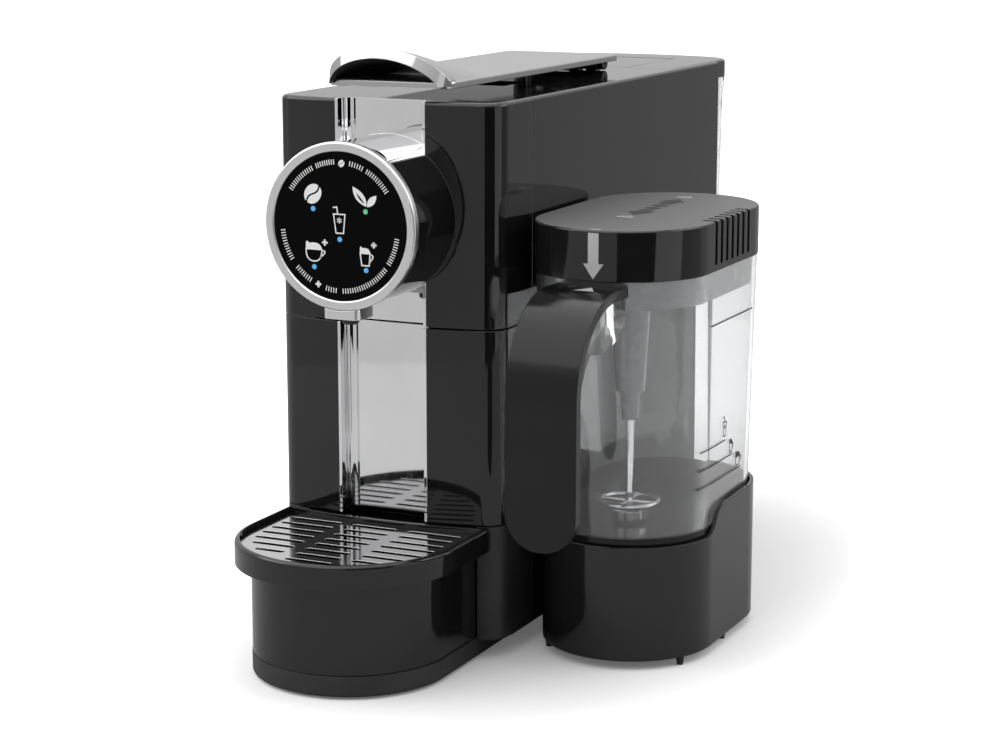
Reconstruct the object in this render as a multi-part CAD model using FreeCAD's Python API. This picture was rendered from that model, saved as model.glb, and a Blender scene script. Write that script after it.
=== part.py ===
import FreeCAD, Part
import os
from math import cos, pi, radians, sin, sqrt

# Pod coffee machine with a milk jug docked at its right side. Millimetres, +Z up.
# While modelling, X = 0 is the middle of the machine's body, Y = 0 its front and Z = 0 the table.
# At export everything moves by ORIGIN, so that the origin is the bottom centre of the whole object.

# Body
BODY_HALF = 60.0
BODY_BOTTOM = 10.0
BODY_TOP = 270.0
WALL = 2.5
INSIDE = BODY_HALF - WALL
FRONT_RADIUS = 252.0
FRONT_CORNER = 12.0
SIDE_SEAM = 44.0
SIDE_BACK = 304.0
FRONT_SEAM = 162.7
SEAM = 0.4
TOP_SKIN = 3.0
LEDGE = 3.0

# Base plate, tub and feet
FOOT_HEIGHT = 1.0
PLATE_HALF = 48.5
PLATE_ARC = -31.0
PLATE_TOP = 11.2
TUB_FRONT = 46.0
TUB_FLOOR = 3.0
SHELF = 28.0

# Drip tray
TRAY_HALF = 48.0
TRAY_ARC = -31.5
TRAY_BOTTOM = 11.6
RIM_HALF = 55.0
RIM_ARC = -33.0
RIM_BOTTOM = 55.0
RIM_TOP = 66.5
TRAY_WALL = 2.5
TRAY_BACK = 40.0
TRAY_GAP = 0.8
GRILLE_TOP = 64.0
GRILLE_THICK = 1.5
SLOT_WIDTH = 3.6
SLOT_PITCH = 9.4
SLOT_ROWS = 8
FIRST_SLOT = -74.1

# Capsule bin
BIN_HALF = 53.0
BIN_FRONT = 13.5
BIN_BACK = 158.0
BIN_BOTTOM = 68.0
BIN_TOP = 158.0
BIN_WALL = 2.0
PANEL_BOTTOM = 67.2

# Chrome channel and control drum
CHANNEL_HALF = 23.9
CHANNEL_BACK = 10.0
CHANNEL_SKIN = 1.5
CHANNEL_FRONT = 0.8
CHANNEL_ROUND = 4.0
TROUGH_WALL = 2.0
TROUGH_FRONT = 2.2
DRUM_Z = 215.0
DRUM_RADIUS = 38.5
DRUM_WALL = 2.5
DRUM_FRONT = -36.4
BEZEL_RADIUS = 39.3
BEZEL_BORE = 34.6
BEZEL_FRONT = -40.4
PANEL_FRONT = -39.8
PANEL_SEAT = -37.4
LIGHT_RADIUS = 1.2
LIGHTS = [(-13.8, 222.7), (13.6, 222.7), (0.0, 209.1), (-13.6, 195.5), (13.6, 195.5)]

# Spout
SPOUT_HALF = 9.3
SPOUT_BACK = -23.0
SPOUT_BOTTOM = 171.5
SPOUT_EDGE = 3.0
NOZZLE_Y = -30.0
NOZZLE_BOTTOM = 168.0
NOZZLE_RADIUS = 4.0
COFFEE_BORE = 2.0

# Lever
LEVER_HALF = 33.0
LEVER_FRONT = 8.0
LEVER_TOP = 279.0
LEVER_THICK = 3.5
AXIS_Y = 216.0
AXIS_Z = 274.5
LEVER_BACK = AXIS_Y + 3.0
BARREL_RADIUS = 4.2
BARREL_HALF = 26.0
PIN_RADIUS = 1.5
LUG_X = 19.0
LUG_HALF = 3.0
LUG_RADIUS = 3.2
HOOD_REACH = 28.0
HOOD_SLANT = 10.0
HOOD_CENTRE = 18.0
HOOD_HALF = LEVER_HALF - 0.6
HOOD_BASE = LEVER_TOP - 2.5
HOOD_SKIN = 3.0
HOOD_RISES = [(-12.0, 16.6), (17.0, 12.6), (43.0, 5.9), (66.0, 0.9)]
CRANK_RADIUS = 25.0
CRANK_SWING = 37.5
CRANK_PIN = 3.0
CRANK_HALF = 10.0

# Brew unit
BREW_Z = 228.0
CAGE_RADIUS = 24.0
CAGE_BORE = 19.0
CAGE_FRONT = 95.0
CAGE_BACK = 128.0
HEAD_BACK = 152.0
BAR_INNER = 26.0
BAR_OUTER = 31.0
BAR_BOTTOM = 222.0
BAR_TOP = 241.0
FRAME_INNER = 32.0
FRAME_OUTER = 35.0
DECK_BOTTOM = 186.0
DECK_TOP = 189.0
YOKE_FRONT = 222.0
YOKE_BACK = 240.5
YOKE_SLOT = 7.2

# Chassis and water system
CHASSIS_HALF = 55.0
CHASSIS_WALL = 3.0
CHASSIS_FRONT = 170.0
REAR_PANEL = 262.0
REAR_SKIN = 2.0
HOSE_RADIUS = 3.0

# Water tank
TANK_HALF = 56.9
TANK_FRONT = 264.6
TANK_BOW = 160.0
TANK_BACK = 346.0
TANK_CORNER = 22.0
TANK_WALL = 2.2
TANK_TAPER = 5.0
TANK_RIM = 260.0
LID_FRONT = 238.4
FLAP_HALF = 29.3
FLAP_FRONT = 241.0
FLAP_BACK = 315.0
FLAP_THICK = 2.5
FLAP_AXIS_Y = 312.5
FLAP_AXIS_Z = 268.0

# Dock
DOCK_X = 106.0
DOCK_RADIUS = 43.0
DOCK_FRONT_ARC = 60.0
DOCK_BACK_ARC = 112.0
DOCK_BOTTOM = 4.0
DOCK_DECK = 60.5
DOCK_RIM = 72.5
DOCK_RIM_BACK = 74.5
STEP_START = 55.0
STEP_END = 76.0
WELL_RADIUS = 41.0
WHISK_Y = 58.0

# Jug, handle and jug lid
JUG_BOTTOM_RADIUS = 40.2
JUG_TOP_RADIUS = 42.5
JUG_TOP_ARC = 48.5
JUG_BACK_ARC = 111.0
JUG_WALL = 2.0
JUG_FLOOR = 64.0
JUG_TOP = 190.0
HANDLE_HALF = 17.5
HANDLE_TOP = 188.0
HANDLE_FRONT = -50.0
HANDLE_BEND = 45.0
HANDLE_END = 74.0
HANDLE_SKIN = 5.0
CORE_SKIN = 3.0
LID_RADIUS = 43.0
LID_ARC = 48.0
LID_TOP = 214.0
LID_EDGE = 1.2
VENTS = 7
VENT_FIRST = 58.0
VENT_PITCH = 7.6
VENT_WIDTH = 3.4
STEM_END = 129.0
STEM_TIP = 115.0
SHAFT_RADIUS = 1.9

ORIGIN = ((DOCK_X + DOCK_RADIUS - BODY_HALF) / 2, (TANK_BACK + RIM_ARC - RIM_HALF) / 2, 0.0)


# Small helpers

def vec(x, y, z):
    return FreeCAD.Vector(x, y, z)


def block(x0, x1, y0, y1, z0, z1):
    return Part.makeBox(x1 - x0, y1 - y0, z1 - z0, vec(x0, y0, z0))


def rod_x(radius, x0, x1, y, z):
    return Part.makeCylinder(radius, x1 - x0, vec(x0, y, z), vec(1, 0, 0))


def rod_y(radius, y0, y1, x, z):
    return Part.makeCylinder(radius, y1 - y0, vec(x, y0, z), vec(0, 1, 0))


def rod_z(radius, z0, z1, x, y):
    return Part.makeCylinder(radius, z1 - z0, vec(x, y, z0), vec(0, 0, 1))


def line(p, q):
    return Part.makeLine(p, q)


def arc(p, m, q):
    return Part.Arc(p, m, q).toShape()


def prism(edges, direction):
    return Part.Face(Part.Wire(edges)).extrude(direction)


def joined(first, *others):
    return first.fuse(list(others)).removeSplitter()


def without(shape, *cutters):
    for cutter in cutters:
        shape = shape.cut(cutter)
    return shape


def mirrored(shape):
    return shape.mirror(vec(0, 0, 0), vec(1, 0, 0))


def both_sides(shape):
    return [shape, mirrored(shape)]


def group(solids):
    return Part.makeCompound(solids)


def edges_where(shape, test):
    return [edge for edge in shape.Edges if test(edge)]


def is_vertical(edge):
    first, last = edge.Vertexes[0].Point, edge.Vertexes[-1].Point
    return abs(first.x - last.x) < 0.001 and abs(first.y - last.y) < 0.001 and first != last


def lies_at(edge, z):
    return all(abs(vertex.Z - z) < 0.001 for vertex in edge.Vertexes)


def stadium_edges(x, y0, y1, radius, z):
    front_left, front_right = vec(x - radius, y0, z), vec(x + radius, y0, z)
    back_right, back_left = vec(x + radius, y1, z), vec(x - radius, y1, z)
    return [
        arc(front_left, vec(x, y0 - radius, z), front_right),
        line(front_right, back_right),
        arc(back_right, vec(x, y1 + radius, z), back_left),
        line(back_left, front_left),
    ]


def stadium(x, y0, y1, radius, z0, z1):
    return prism(stadium_edges(x, y0, y1, radius, z0), vec(0, 0, z1 - z0))


def round_front(half, arc_y, back, z0, z1):
    """A plate whose front is a half circle of the plate's own width."""
    left, right = vec(-half, arc_y, z0), vec(half, arc_y, z0)
    right_back, left_back = vec(half, back, z0), vec(-half, back, z0)
    edges = [
        arc(left, vec(0, arc_y - half, z0), right),
        line(right, right_back),
        line(right_back, left_back),
        line(left_back, left),
    ]
    return prism(edges, vec(0, 0, z1 - z0))


def bowed_block(inset, back, z0, z1):
    """The body's plan, drawn in by inset: a bowed front, round front corners and straight sides."""
    half = BODY_HALF - inset
    radius = FRONT_RADIUS - inset
    corner = FRONT_RADIUS - sqrt(radius ** 2 - half ** 2)
    left, right = vec(-half, corner, z0), vec(half, corner, z0)
    right_back, left_back = vec(half, back, z0), vec(-half, back, z0)
    edges = [
        arc(left, vec(0, inset, z0), right),
        line(right, right_back),
        line(right_back, left_back),
        line(left_back, left),
    ]
    solid = prism(edges, vec(0, 0, z1 - z0))
    corners = edges_where(solid, lambda e: is_vertical(e) and e.Vertexes[0].Y < back - 1)
    return solid.makeFillet(FRONT_CORNER - inset, corners)


def tank_edges(inset, front, z):
    """The tank's plan, drawn in by inset: straight front and sides, round corners and a bowed back."""
    half = TANK_HALF - inset
    corner = TANK_CORNER - inset
    bow = TANK_BOW - inset
    middle = TANK_BACK - TANK_BOW
    corner_x = half - corner
    corner_y = middle + sqrt((bow - corner) ** 2 - corner_x ** 2)
    reach = bow / (bow - corner)
    bow_x, bow_y = corner_x * reach, middle + (corner_y - middle) * reach
    bulge_x, bulge_y = corner_x + corner * cos(radians(40)), corner_y + corner * sin(radians(40))
    side, tangent = vec(half, corner_y, z), vec(bow_x, bow_y, z)
    left_side, left_tangent = vec(-half, corner_y, z), vec(-bow_x, bow_y, z)
    left_front, right_front = vec(-half, front, z), vec(half, front, z)
    return [
        line(left_front, right_front),
        line(right_front, side),
        arc(side, vec(bulge_x, bulge_y, z), tangent),
        arc(tangent, vec(0, middle + bow, z), left_tangent),
        arc(left_tangent, vec(-bulge_x, bulge_y, z), left_side),
        line(left_side, left_front),
    ]


def tank_block(inset, front, z0, z1):
    return prism(tank_edges(inset, front, z0), vec(0, 0, z1 - z0))


def loft(*sections):
    return Part.makeLoft([Part.Wire(edges) for edges in sections], True, False)


def hose(points, radius):
    """A tube along straight runs that are joined by tangent arcs."""
    edges = []
    start = points[0]
    for before, corner, after in zip(points, points[1:], points[2:]):
        back, ahead = before - corner, after - corner
        half_turn = back.getAngle(ahead) / 2
        reach = 0.45 * min(back.Length, ahead.Length)
        back.normalize()
        ahead.normalize()
        middle = (back + ahead).normalize()
        radius_of_bend = reach * sin(half_turn) / cos(half_turn)
        depth = radius_of_bend / sin(half_turn) - radius_of_bend
        arc_start, arc_end = corner + back * reach, corner + ahead * reach
        edges.append(line(start, arc_start))
        edges.append(arc(arc_start, corner + middle * depth, arc_end))
        start = arc_end
    edges.append(line(start, points[-1]))
    ring = Part.Wire(Part.makeCircle(radius, points[0], points[1] - points[0]))
    return Part.Wire(edges).makePipeShell([ring], True, False)


# Casing

def casing_walls():
    outer = bowed_block(0, SIDE_BACK, BODY_BOTTOM, BODY_TOP)
    rim = edges_where(outer, lambda e: lies_at(e, BODY_TOP) and e.BoundBox.YMin < SIDE_BACK - 1)
    rounded = outer.makeFillet(WALL - 0.5, rim)
    return without(rounded, bowed_block(WALL, SIDE_BACK + 1, 0, BODY_TOP + 1))


def base_plate():
    front = round_front(PLATE_HALF, PLATE_ARC, TUB_FRONT - 0.5, FOOT_HEIGHT, PLATE_TOP)
    lower_edge = edges_where(front, lambda e: lies_at(e, FOOT_HEIGHT) and e.BoundBox.YMin < TUB_FRONT - 1)
    front = front.makeFillet(1.5, lower_edge)
    back = block(-PLATE_HALF, PLATE_HALF, TUB_FRONT - 0.5, TANK_BACK - 30, FOOT_HEIGHT, BODY_BOTTOM)
    return joined(front, back)


def rubber_feet():
    places = [(x, y) for x in (-33, 33) for y in (-44, 300)]
    return group([rod_z(8, 0, FOOT_HEIGHT, x, y) for x, y in places])


def base_tub():
    """Floor under the works, front corner posts beside the tray and the shelf that carries the tank."""
    floor = tank_block(0, TUB_FRONT, BODY_BOTTOM, BODY_BOTTOM + TUB_FLOOR)
    shelf = tank_block(0, REAR_PANEL + REAR_SKIN, BODY_BOTTOM, SHELF)
    hollow = tank_block(2.5, REAR_PANEL + REAR_SKIN + 3, BODY_BOTTOM + TUB_FLOOR, SHELF - 3)
    posts = casing_walls().common(block(-61, 61, 0, SIDE_SEAM, 0, RIM_TOP))
    posts = without(posts, block(-PLATE_HALF - 0.1, PLATE_HALF + 0.1, -1, SIDE_SEAM, 0, BODY_TOP))
    rails = both_sides(block(INSIDE - 4, INSIDE, 30, SIDE_BACK, BODY_BOTTOM, BODY_BOTTOM + TUB_FLOOR))
    socket = rod_z(11, BODY_BOTTOM + TUB_FLOOR, SHELF + 1, 0, 290)
    pipe = rod_y(4.5, REAR_PANEL, 290, 0, 20)
    gland = rod_y(7, 330, TANK_BACK, -30, 19)
    return without(joined(floor, shelf, posts, *rails), hollow, socket, pipe, gland)


def side_panel():
    wall = casing_walls().common(block(0, 61, SIDE_SEAM + SEAM, SIDE_BACK, 0, BODY_TOP + 1))
    ledge_top = BODY_TOP - TOP_SKIN
    ledge = block(INSIDE - LEDGE, INSIDE, SIDE_SEAM + 16, LID_FRONT - 1, ledge_top - LEDGE, ledge_top)
    return joined(wall, ledge)


def channel_gap(z0, z1):
    return block(-CHANNEL_HALF, CHANNEL_HALF, -5, CHANNEL_BACK, z0, z1)


def trough(z0, z1):
    """Moulded trough behind a panel, which the chrome channel lies in."""
    half = CHANNEL_HALF + TROUGH_WALL
    back = CHANNEL_BACK + CHANNEL_SKIN
    outer = block(-half, half, TROUGH_FRONT, back + TROUGH_WALL, z0, z1)
    return without(outer, block(-CHANNEL_HALF, CHANNEL_HALF, 0, back, z0 - 1, z1 + 1))


def drum_window():
    """Way through the channel's back into the drum, for the coffee tube and the leads."""
    return block(-14, 14, 0, 20, DRUM_Z - 26, DRUM_Z + 20)


def front_housing():
    """Upper front with its round corners, the drum for the controls and flanges behind the side panels."""
    bottom = FRONT_SEAM + SEAM
    wall = casing_walls().common(block(-61, 61, -1, SIDE_SEAM, bottom, BODY_TOP + 1))
    wall = without(wall, channel_gap(bottom - 1, BODY_TOP + 1))
    wall = joined(wall, trough(bottom, BODY_TOP - TOP_SKIN))
    wall = without(wall, rod_y(DRUM_RADIUS - DRUM_WALL, -1, CHANNEL_BACK, 0, DRUM_Z), drum_window())
    drum = rod_y(DRUM_RADIUS, DRUM_FRONT, CHANNEL_BACK, 0, DRUM_Z)
    drum = without(drum, rod_y(DRUM_RADIUS - DRUM_WALL, DRUM_FRONT - 1, 20, 0, DRUM_Z))
    drum = without(drum, block(-CHANNEL_HALF, CHANNEL_HALF, DRUM_FRONT - 1, CHANNEL_BACK, DRUM_Z, BODY_TOP))
    drum = without(drum, rod_z(NOZZLE_RADIUS + 0.1, 170, 190, 0, NOZZLE_Y))
    flange = block(INSIDE - 2, INSIDE, SIDE_SEAM - 3, SIDE_SEAM + 12, bottom + 3, BODY_TOP - 8)
    return joined(wall, drum, *both_sides(flange))


def channel(z0, z1):
    """Chrome channel section with round inner corners."""
    outer = block(-CHANNEL_HALF, CHANNEL_HALF, CHANNEL_FRONT, CHANNEL_BACK + CHANNEL_SKIN, z0, z1)
    inner_half = CHANNEL_HALF - CHANNEL_SKIN
    inner = block(-inner_half, inner_half, CHANNEL_FRONT - 10, CHANNEL_BACK, z0 - 1, z1 + 1)
    corners = edges_where(inner, lambda e: is_vertical(e) and e.Vertexes[0].Y > CHANNEL_BACK - 1)
    return without(outer, inner.makeFillet(CHANNEL_ROUND, corners))


def channel_upper():
    """Upper half of the channel, with the saddle over the drum."""
    section = channel(FRONT_SEAM + SEAM, BODY_TOP)
    section = without(section, rod_y(DRUM_RADIUS + 0.05, -10, CHANNEL_BACK, 0, DRUM_Z))
    section = without(section, drum_window())
    saddle = rod_y(DRUM_RADIUS, DRUM_FRONT, CHANNEL_BACK + 0.5, 0, DRUM_Z)
    saddle = without(saddle, rod_y(DRUM_RADIUS - DRUM_WALL, DRUM_FRONT - 1, 20, 0, DRUM_Z))
    edge = CHANNEL_HALF - 0.05
    saddle = saddle.common(block(-edge, edge, DRUM_FRONT, 20, DRUM_Z + 1, BODY_TOP))
    return joined(section, saddle)


def bezel_ring():
    """Satin ring: a turned section with soft edges and a step that the panel seats on."""
    soft = 1.2
    bore_back = BEZEL_BORE - 1.6
    corner = soft * (1 - sqrt(0.5))
    points = [
        vec(BEZEL_RADIUS, DRUM_FRONT, 0), vec(BEZEL_RADIUS, BEZEL_FRONT + soft, 0),
        vec(BEZEL_RADIUS - soft, BEZEL_FRONT, 0), vec(BEZEL_BORE + soft, BEZEL_FRONT, 0),
        vec(BEZEL_BORE, BEZEL_FRONT + soft, 0), vec(BEZEL_BORE, PANEL_SEAT, 0),
        vec(bore_back, PANEL_SEAT, 0), vec(bore_back, DRUM_FRONT, 0),
    ]
    outer_bulge = vec(BEZEL_RADIUS - corner, BEZEL_FRONT + corner, 0)
    inner_bulge = vec(BEZEL_BORE + corner, BEZEL_FRONT + corner, 0)
    edges = [
        line(points[0], points[1]), arc(points[1], outer_bulge, points[2]), line(points[2], points[3]),
        arc(points[3], inner_bulge, points[4]), line(points[4], points[5]), line(points[5], points[6]),
        line(points[6], points[7]), line(points[7], points[0]),
    ]
    ring = Part.Face(Part.Wire(edges)).revolve(vec(0, 0, 0), vec(0, 1, 0), 360)
    return ring.translated(vec(0, 0, DRUM_Z))


def touch_panel():
    panel = rod_y(BEZEL_BORE - 0.1, PANEL_FRONT, PANEL_SEAT, 0, DRUM_Z)
    return without(panel, *[rod_y(LIGHT_RADIUS + 0.05, PANEL_FRONT - 1, 0, x, z) for x, z in LIGHTS])


def indicator_lenses():
    return group([rod_y(LIGHT_RADIUS, PANEL_FRONT, DRUM_FRONT, x, z) for x, z in LIGHTS])


def control_board():
    board = rod_y(DRUM_RADIUS - DRUM_WALL - 0.2, DRUM_FRONT, DRUM_FRONT + 1.6, 0, DRUM_Z)
    chip = block(-6, 6, DRUM_FRONT + 1.6, DRUM_FRONT + 3, DRUM_Z + 2, DRUM_Z + 14)
    plug = block(-18, -8, DRUM_FRONT + 1.6, DRUM_FRONT + 7, DRUM_Z - 8, DRUM_Z - 2)
    return joined(board, chip, plug)


def spout_block():
    body = block(-SPOUT_HALF, SPOUT_HALF, BEZEL_FRONT, SPOUT_BACK, SPOUT_BOTTOM, SPOUT_BOTTOM + 14)
    body = body.makeFillet(SPOUT_EDGE, edges_where(body, is_vertical))
    body = without(body, rod_y(BEZEL_RADIUS + 0.05, BEZEL_FRONT - 1, DRUM_FRONT, 0, DRUM_Z))
    body = without(body, rod_y(DRUM_RADIUS + 0.02, DRUM_FRONT - 0.01, 0, 0, DRUM_Z))
    return without(body, rod_z(NOZZLE_RADIUS, SPOUT_BOTTOM - 1, 190, 0, NOZZLE_Y))


def spout_nozzle():
    tube = rod_z(NOZZLE_RADIUS, NOZZLE_BOTTOM, 184, 0, NOZZLE_Y)
    tip = edges_where(tube, lambda e: lies_at(e, NOZZLE_BOTTOM))
    tube = tube.makeChamfer(0.8, tip)
    socket = rod_z(HOSE_RADIUS, 182, 185, 0, NOZZLE_Y)
    return without(tube, rod_z(COFFEE_BORE, NOZZLE_BOTTOM - 1, 190, 0, NOZZLE_Y), socket)


def top_cover():
    """Top skin with the capsule slot, the crank slot, a bumper and the lugs that hold the lever."""
    skin = bowed_block(WALL + 0.1, LID_FRONT - SEAM, BODY_TOP - TOP_SKIN, BODY_TOP)
    recess = CHANNEL_BACK + CHANNEL_SKIN
    cuts = [
        block(-CHANNEL_HALF, CHANNEL_HALF, -1, recess, 0, BODY_TOP + 1),
        block(-20, 20, CAGE_FRONT + 3, CAGE_BACK, 0, BODY_TOP + 1),
        block(-CRANK_HALF - 1.5, CRANK_HALF + 1.5, AXIS_Y - 12, AXIS_Y + 13, 0, BODY_TOP + 1),
    ]
    bumper = rod_z(5, BODY_TOP - 1, LEVER_TOP - LEVER_THICK - 0.2, 0, 165)
    lug = rod_x(LUG_RADIUS, LUG_X - LUG_HALF, LUG_X + LUG_HALF, AXIS_Y, AXIS_Z)
    back = AXIS_Y + LUG_RADIUS
    stem = block(LUG_X - LUG_HALF, LUG_X + LUG_HALF, AXIS_Y - LUG_RADIUS, back, BODY_TOP - 1, AXIS_Z)
    solid = joined(without(skin, *cuts), bumper, *both_sides(lug), *both_sides(stem))
    return without(solid, rod_x(PIN_RADIUS + 0.05, -40, 40, AXIS_Y, AXIS_Z))


def capsule_chute():
    bottom, top = 255.0, BODY_TOP - TOP_SKIN
    wall = 2.5
    front, back = CAGE_FRONT + 3, CAGE_BACK
    outer = block(-20 - wall, 20 + wall, front - wall, back + wall, bottom, top)
    return without(outer, block(-20, 20, front, back, bottom - 1, top + 1))


# Lever and brew unit

def lever_blank():
    """The lever's flat plate, with round corners and a soft top edge."""
    plate = block(-LEVER_HALF, LEVER_HALF, LEVER_FRONT, LEVER_BACK, LEVER_TOP - LEVER_THICK, LEVER_TOP)
    plate = plate.makeFillet(8, edges_where(plate, lambda e: is_vertical(e) and e.Vertexes[0].Y < AXIS_Y))
    plate = plate.makeFillet(4, edges_where(plate, lambda e: is_vertical(e) and e.Vertexes[0].Y > AXIS_Y))
    return plate.makeFillet(1.2, edges_where(plate, lambda e: lies_at(e, LEVER_TOP)))


def hood_section(y, half, base, top):
    """Upright half ellipse across the lever, closed by a line below."""
    outline = Part.Ellipse(vec(half, y, base), vec(0, y, top), vec(0, y, base))
    bow = Part.ArcOfEllipse(outline, 0, pi).toShape()
    return [bow, line(vec(-half, y, base), vec(half, y, base))]


def hood():
    """Hump that rises over the lever to the front, with a hollow for the fingers below it."""
    hump = loft(*[hood_section(y, HOOD_HALF, HOOD_BASE, LEVER_TOP + rise) for y, rise in HOOD_RISES])
    inner_half, inner_base = HOOD_HALF - HOOD_SKIN, HOOD_BASE - HOOD_SKIN
    lower = HOOD_SKIN + 2
    sections = []
    for y, rise in HOOD_RISES[:3]:
        sections.append(hood_section(y, inner_half, inner_base, LEVER_TOP + rise - lower))
    hollow = loft(*sections)
    return without(hump, hollow)


def lever_plate():
    """Flat lever with the hood's rear on it and a hinge barrel below, cut away for the lugs and the crank."""
    rear = hood().common(block(-LEVER_HALF, LEVER_HALF, HOOD_CENTRE, AXIS_Y, HOOD_BASE, BODY_TOP + 50))
    barrel = rod_x(BARREL_RADIUS, -BARREL_HALF, BARREL_HALF, AXIS_Y, AXIS_Z)
    gap = LUG_HALF + 0.4
    notch_front, notch_back = AXIS_Y - 5, AXIS_Y + 6
    under_top = LEVER_TOP - 1.0
    lug_gap = block(LUG_X - gap, LUG_X + gap, notch_front, notch_back, 260, under_top)
    crank_gap = block(-CRANK_HALF, CRANK_HALF, notch_front, notch_back, 260, under_top)
    solid = without(lever_blank().fuse([rear, barrel]), *both_sides(lug_gap), crank_gap)
    return without(solid, rod_x(PIN_RADIUS, -BARREL_HALF, BARREL_HALF, AXIS_Y, AXIS_Z))


def nose_outline(reach, z):
    return [Part.Ellipse(vec(0, HOOD_CENTRE, z), LEVER_HALF, reach).toShape()]


def lever_handle():
    """Chrome front of the hood, which overhangs the lever in a round nose that leans back."""
    lowest, highest = HOOD_BASE - 1, LEVER_TOP + HOOD_RISES[0][1] + 1
    nose = loft(nose_outline(HOOD_REACH, lowest), nose_outline(HOOD_REACH - HOOD_SLANT, highest))
    front = block(-LEVER_HALF, LEVER_HALF, HOOD_CENTRE - HOOD_REACH, HOOD_CENTRE, lowest, highest)
    return without(hood().common(nose.common(front)), lever_blank())


def crank_direction():
    """From the lever's axis to the crank pin when the lever is closed."""
    return vec(0, sin(radians(CRANK_SWING)), -cos(radians(CRANK_SWING)))


def lever_crank():
    """Two arms that hang through the top cover from the lever's barrel, with the pin between them."""
    hub = rod_x(LUG_RADIUS, -CRANK_HALF, CRANK_HALF, AXIS_Y, AXIS_Z)
    foot = block(-CRANK_HALF, CRANK_HALF, AXIS_Y - 22, AXIS_Y, AXIS_Z - 2, LEVER_TOP - LEVER_THICK)
    arm = block(5.5, CRANK_HALF, -3.5, 3.5, -CRANK_RADIUS, 0)
    end = rod_x(4, 5.5, CRANK_HALF, 0, -CRANK_RADIUS)
    arms = joined(joined(arm, end), mirrored(joined(arm, end)))
    arms.rotate(vec(0, 0, 0), vec(1, 0, 0), CRANK_SWING)
    arms.translate(vec(0, AXIS_Y, AXIS_Z))
    pin_at = vec(0, AXIS_Y, AXIS_Z) + crank_direction() * CRANK_RADIUS
    pin = rod_x(CRANK_PIN, -18, 18, pin_at.y, pin_at.z)
    return without(joined(hub, foot, arms, pin), rod_x(PIN_RADIUS, -40, 40, AXIS_Y, AXIS_Z))


def lever_pin():
    return rod_x(PIN_RADIUS, -BARREL_HALF + 2.5, BARREL_HALF - 2.5, AXIS_Y, AXIS_Z)


def brew_frame():
    """Two side plates on the deck, tied by a bar at the back."""
    plate = block(FRAME_INNER, FRAME_OUTER, 60, 250, DECK_TOP, 262)
    window = block(FRAME_INNER - 1, FRAME_OUTER + 1, 160, 215, DECK_TOP + 12, 250)
    side = without(plate, window.makeFillet(6, edges_where(window, lambda e: e.Length < 6)))
    tie = block(-FRAME_INNER, FRAME_INNER, 244, 250, DECK_TOP, DECK_TOP + 12)
    return joined(side, mirrored(side), tie)


def injection_head():
    """Fixed head with three needles. The carriage's bars pass through its two side notches."""
    body = block(-FRAME_INNER, FRAME_INNER, CAGE_BACK + 0.5, HEAD_BACK, BREW_Z - 26, BREW_Z + 26)
    notch = block(BAR_INNER - 1, FRAME_INNER + 1, CAGE_BACK, HEAD_BACK + 1, BAR_BOTTOM - 1, BAR_TOP + 1)
    inlet = rod_y(5, HEAD_BACK, HEAD_BACK + 10, 0, BREW_Z)
    bore = rod_y(1.5, CAGE_BACK, HEAD_BACK + 11, 0, BREW_Z)
    needles = []
    for turn in (90, 210, 330):
        x, z = 9 * cos(radians(turn)), BREW_Z + 9 * sin(radians(turn))
        needles.append(Part.makeCone(1.6, 0.3, 6, vec(x, CAGE_BACK + 0.5, z), vec(0, -1, 0)))
    return without(joined(without(body, *both_sides(notch)), inlet, *needles), bore)


def brew_gasket():
    ring = rod_y(CAGE_BORE - 0.5, CAGE_BACK - 2, CAGE_BACK + 0.5, 0, BREW_Z)
    return without(ring, rod_y(CAGE_BORE - 3, 0, 200, 0, BREW_Z))


def brew_carriage():
    """Cage that clamps the capsule, pulled back over it by two bars from a slotted yoke."""
    cup = rod_y(CAGE_RADIUS, CAGE_FRONT, CAGE_BACK, 0, BREW_Z)
    cup = without(cup, rod_y(CAGE_BORE, CAGE_FRONT + 4, CAGE_BACK + 1, 0, BREW_Z))
    outlet = rod_y(2, CAGE_FRONT - 1, CAGE_FRONT + 5, 0, BREW_Z)
    drip = block(-5, 5, CAGE_FRONT - 5, CAGE_FRONT, BREW_Z - 24.5, BREW_Z + 4)
    runnel = block(-2, 2, CAGE_FRONT - 3, CAGE_FRONT + 0.1, BREW_Z - 25, BREW_Z + 2)
    arm = block(CAGE_BORE + 1, BAR_OUTER, CAGE_FRONT, CAGE_FRONT + 14, BAR_BOTTOM, BAR_TOP)
    bar = block(BAR_INNER, BAR_OUTER, CAGE_FRONT, YOKE_BACK, BAR_BOTTOM, BAR_TOP)
    beam = block(-BAR_OUTER, BAR_OUTER, YOKE_FRONT, YOKE_BACK, BAR_TOP - 8, BAR_TOP)
    pin_at = vec(0, AXIS_Y, AXIS_Z) + crank_direction() * CRANK_RADIUS
    lowest = AXIS_Z - CRANK_RADIUS
    plate = block(12, 17, YOKE_FRONT, YOKE_BACK, BAR_TOP, 262)
    half_slot = YOKE_SLOT / 2
    slot = block(11, 18, pin_at.y - half_slot, pin_at.y + half_slot, lowest, pin_at.z)
    low_end = rod_x(half_slot, 11, 18, pin_at.y, lowest)
    high_end = rod_x(half_slot, 11, 18, pin_at.y, pin_at.z)
    slot = joined(slot, low_end, high_end)
    plate = without(plate, slot)
    frame = joined(cup, drip, beam, *both_sides(arm), *both_sides(bar), *both_sides(plate))
    return without(frame, outlet, runnel)


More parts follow.
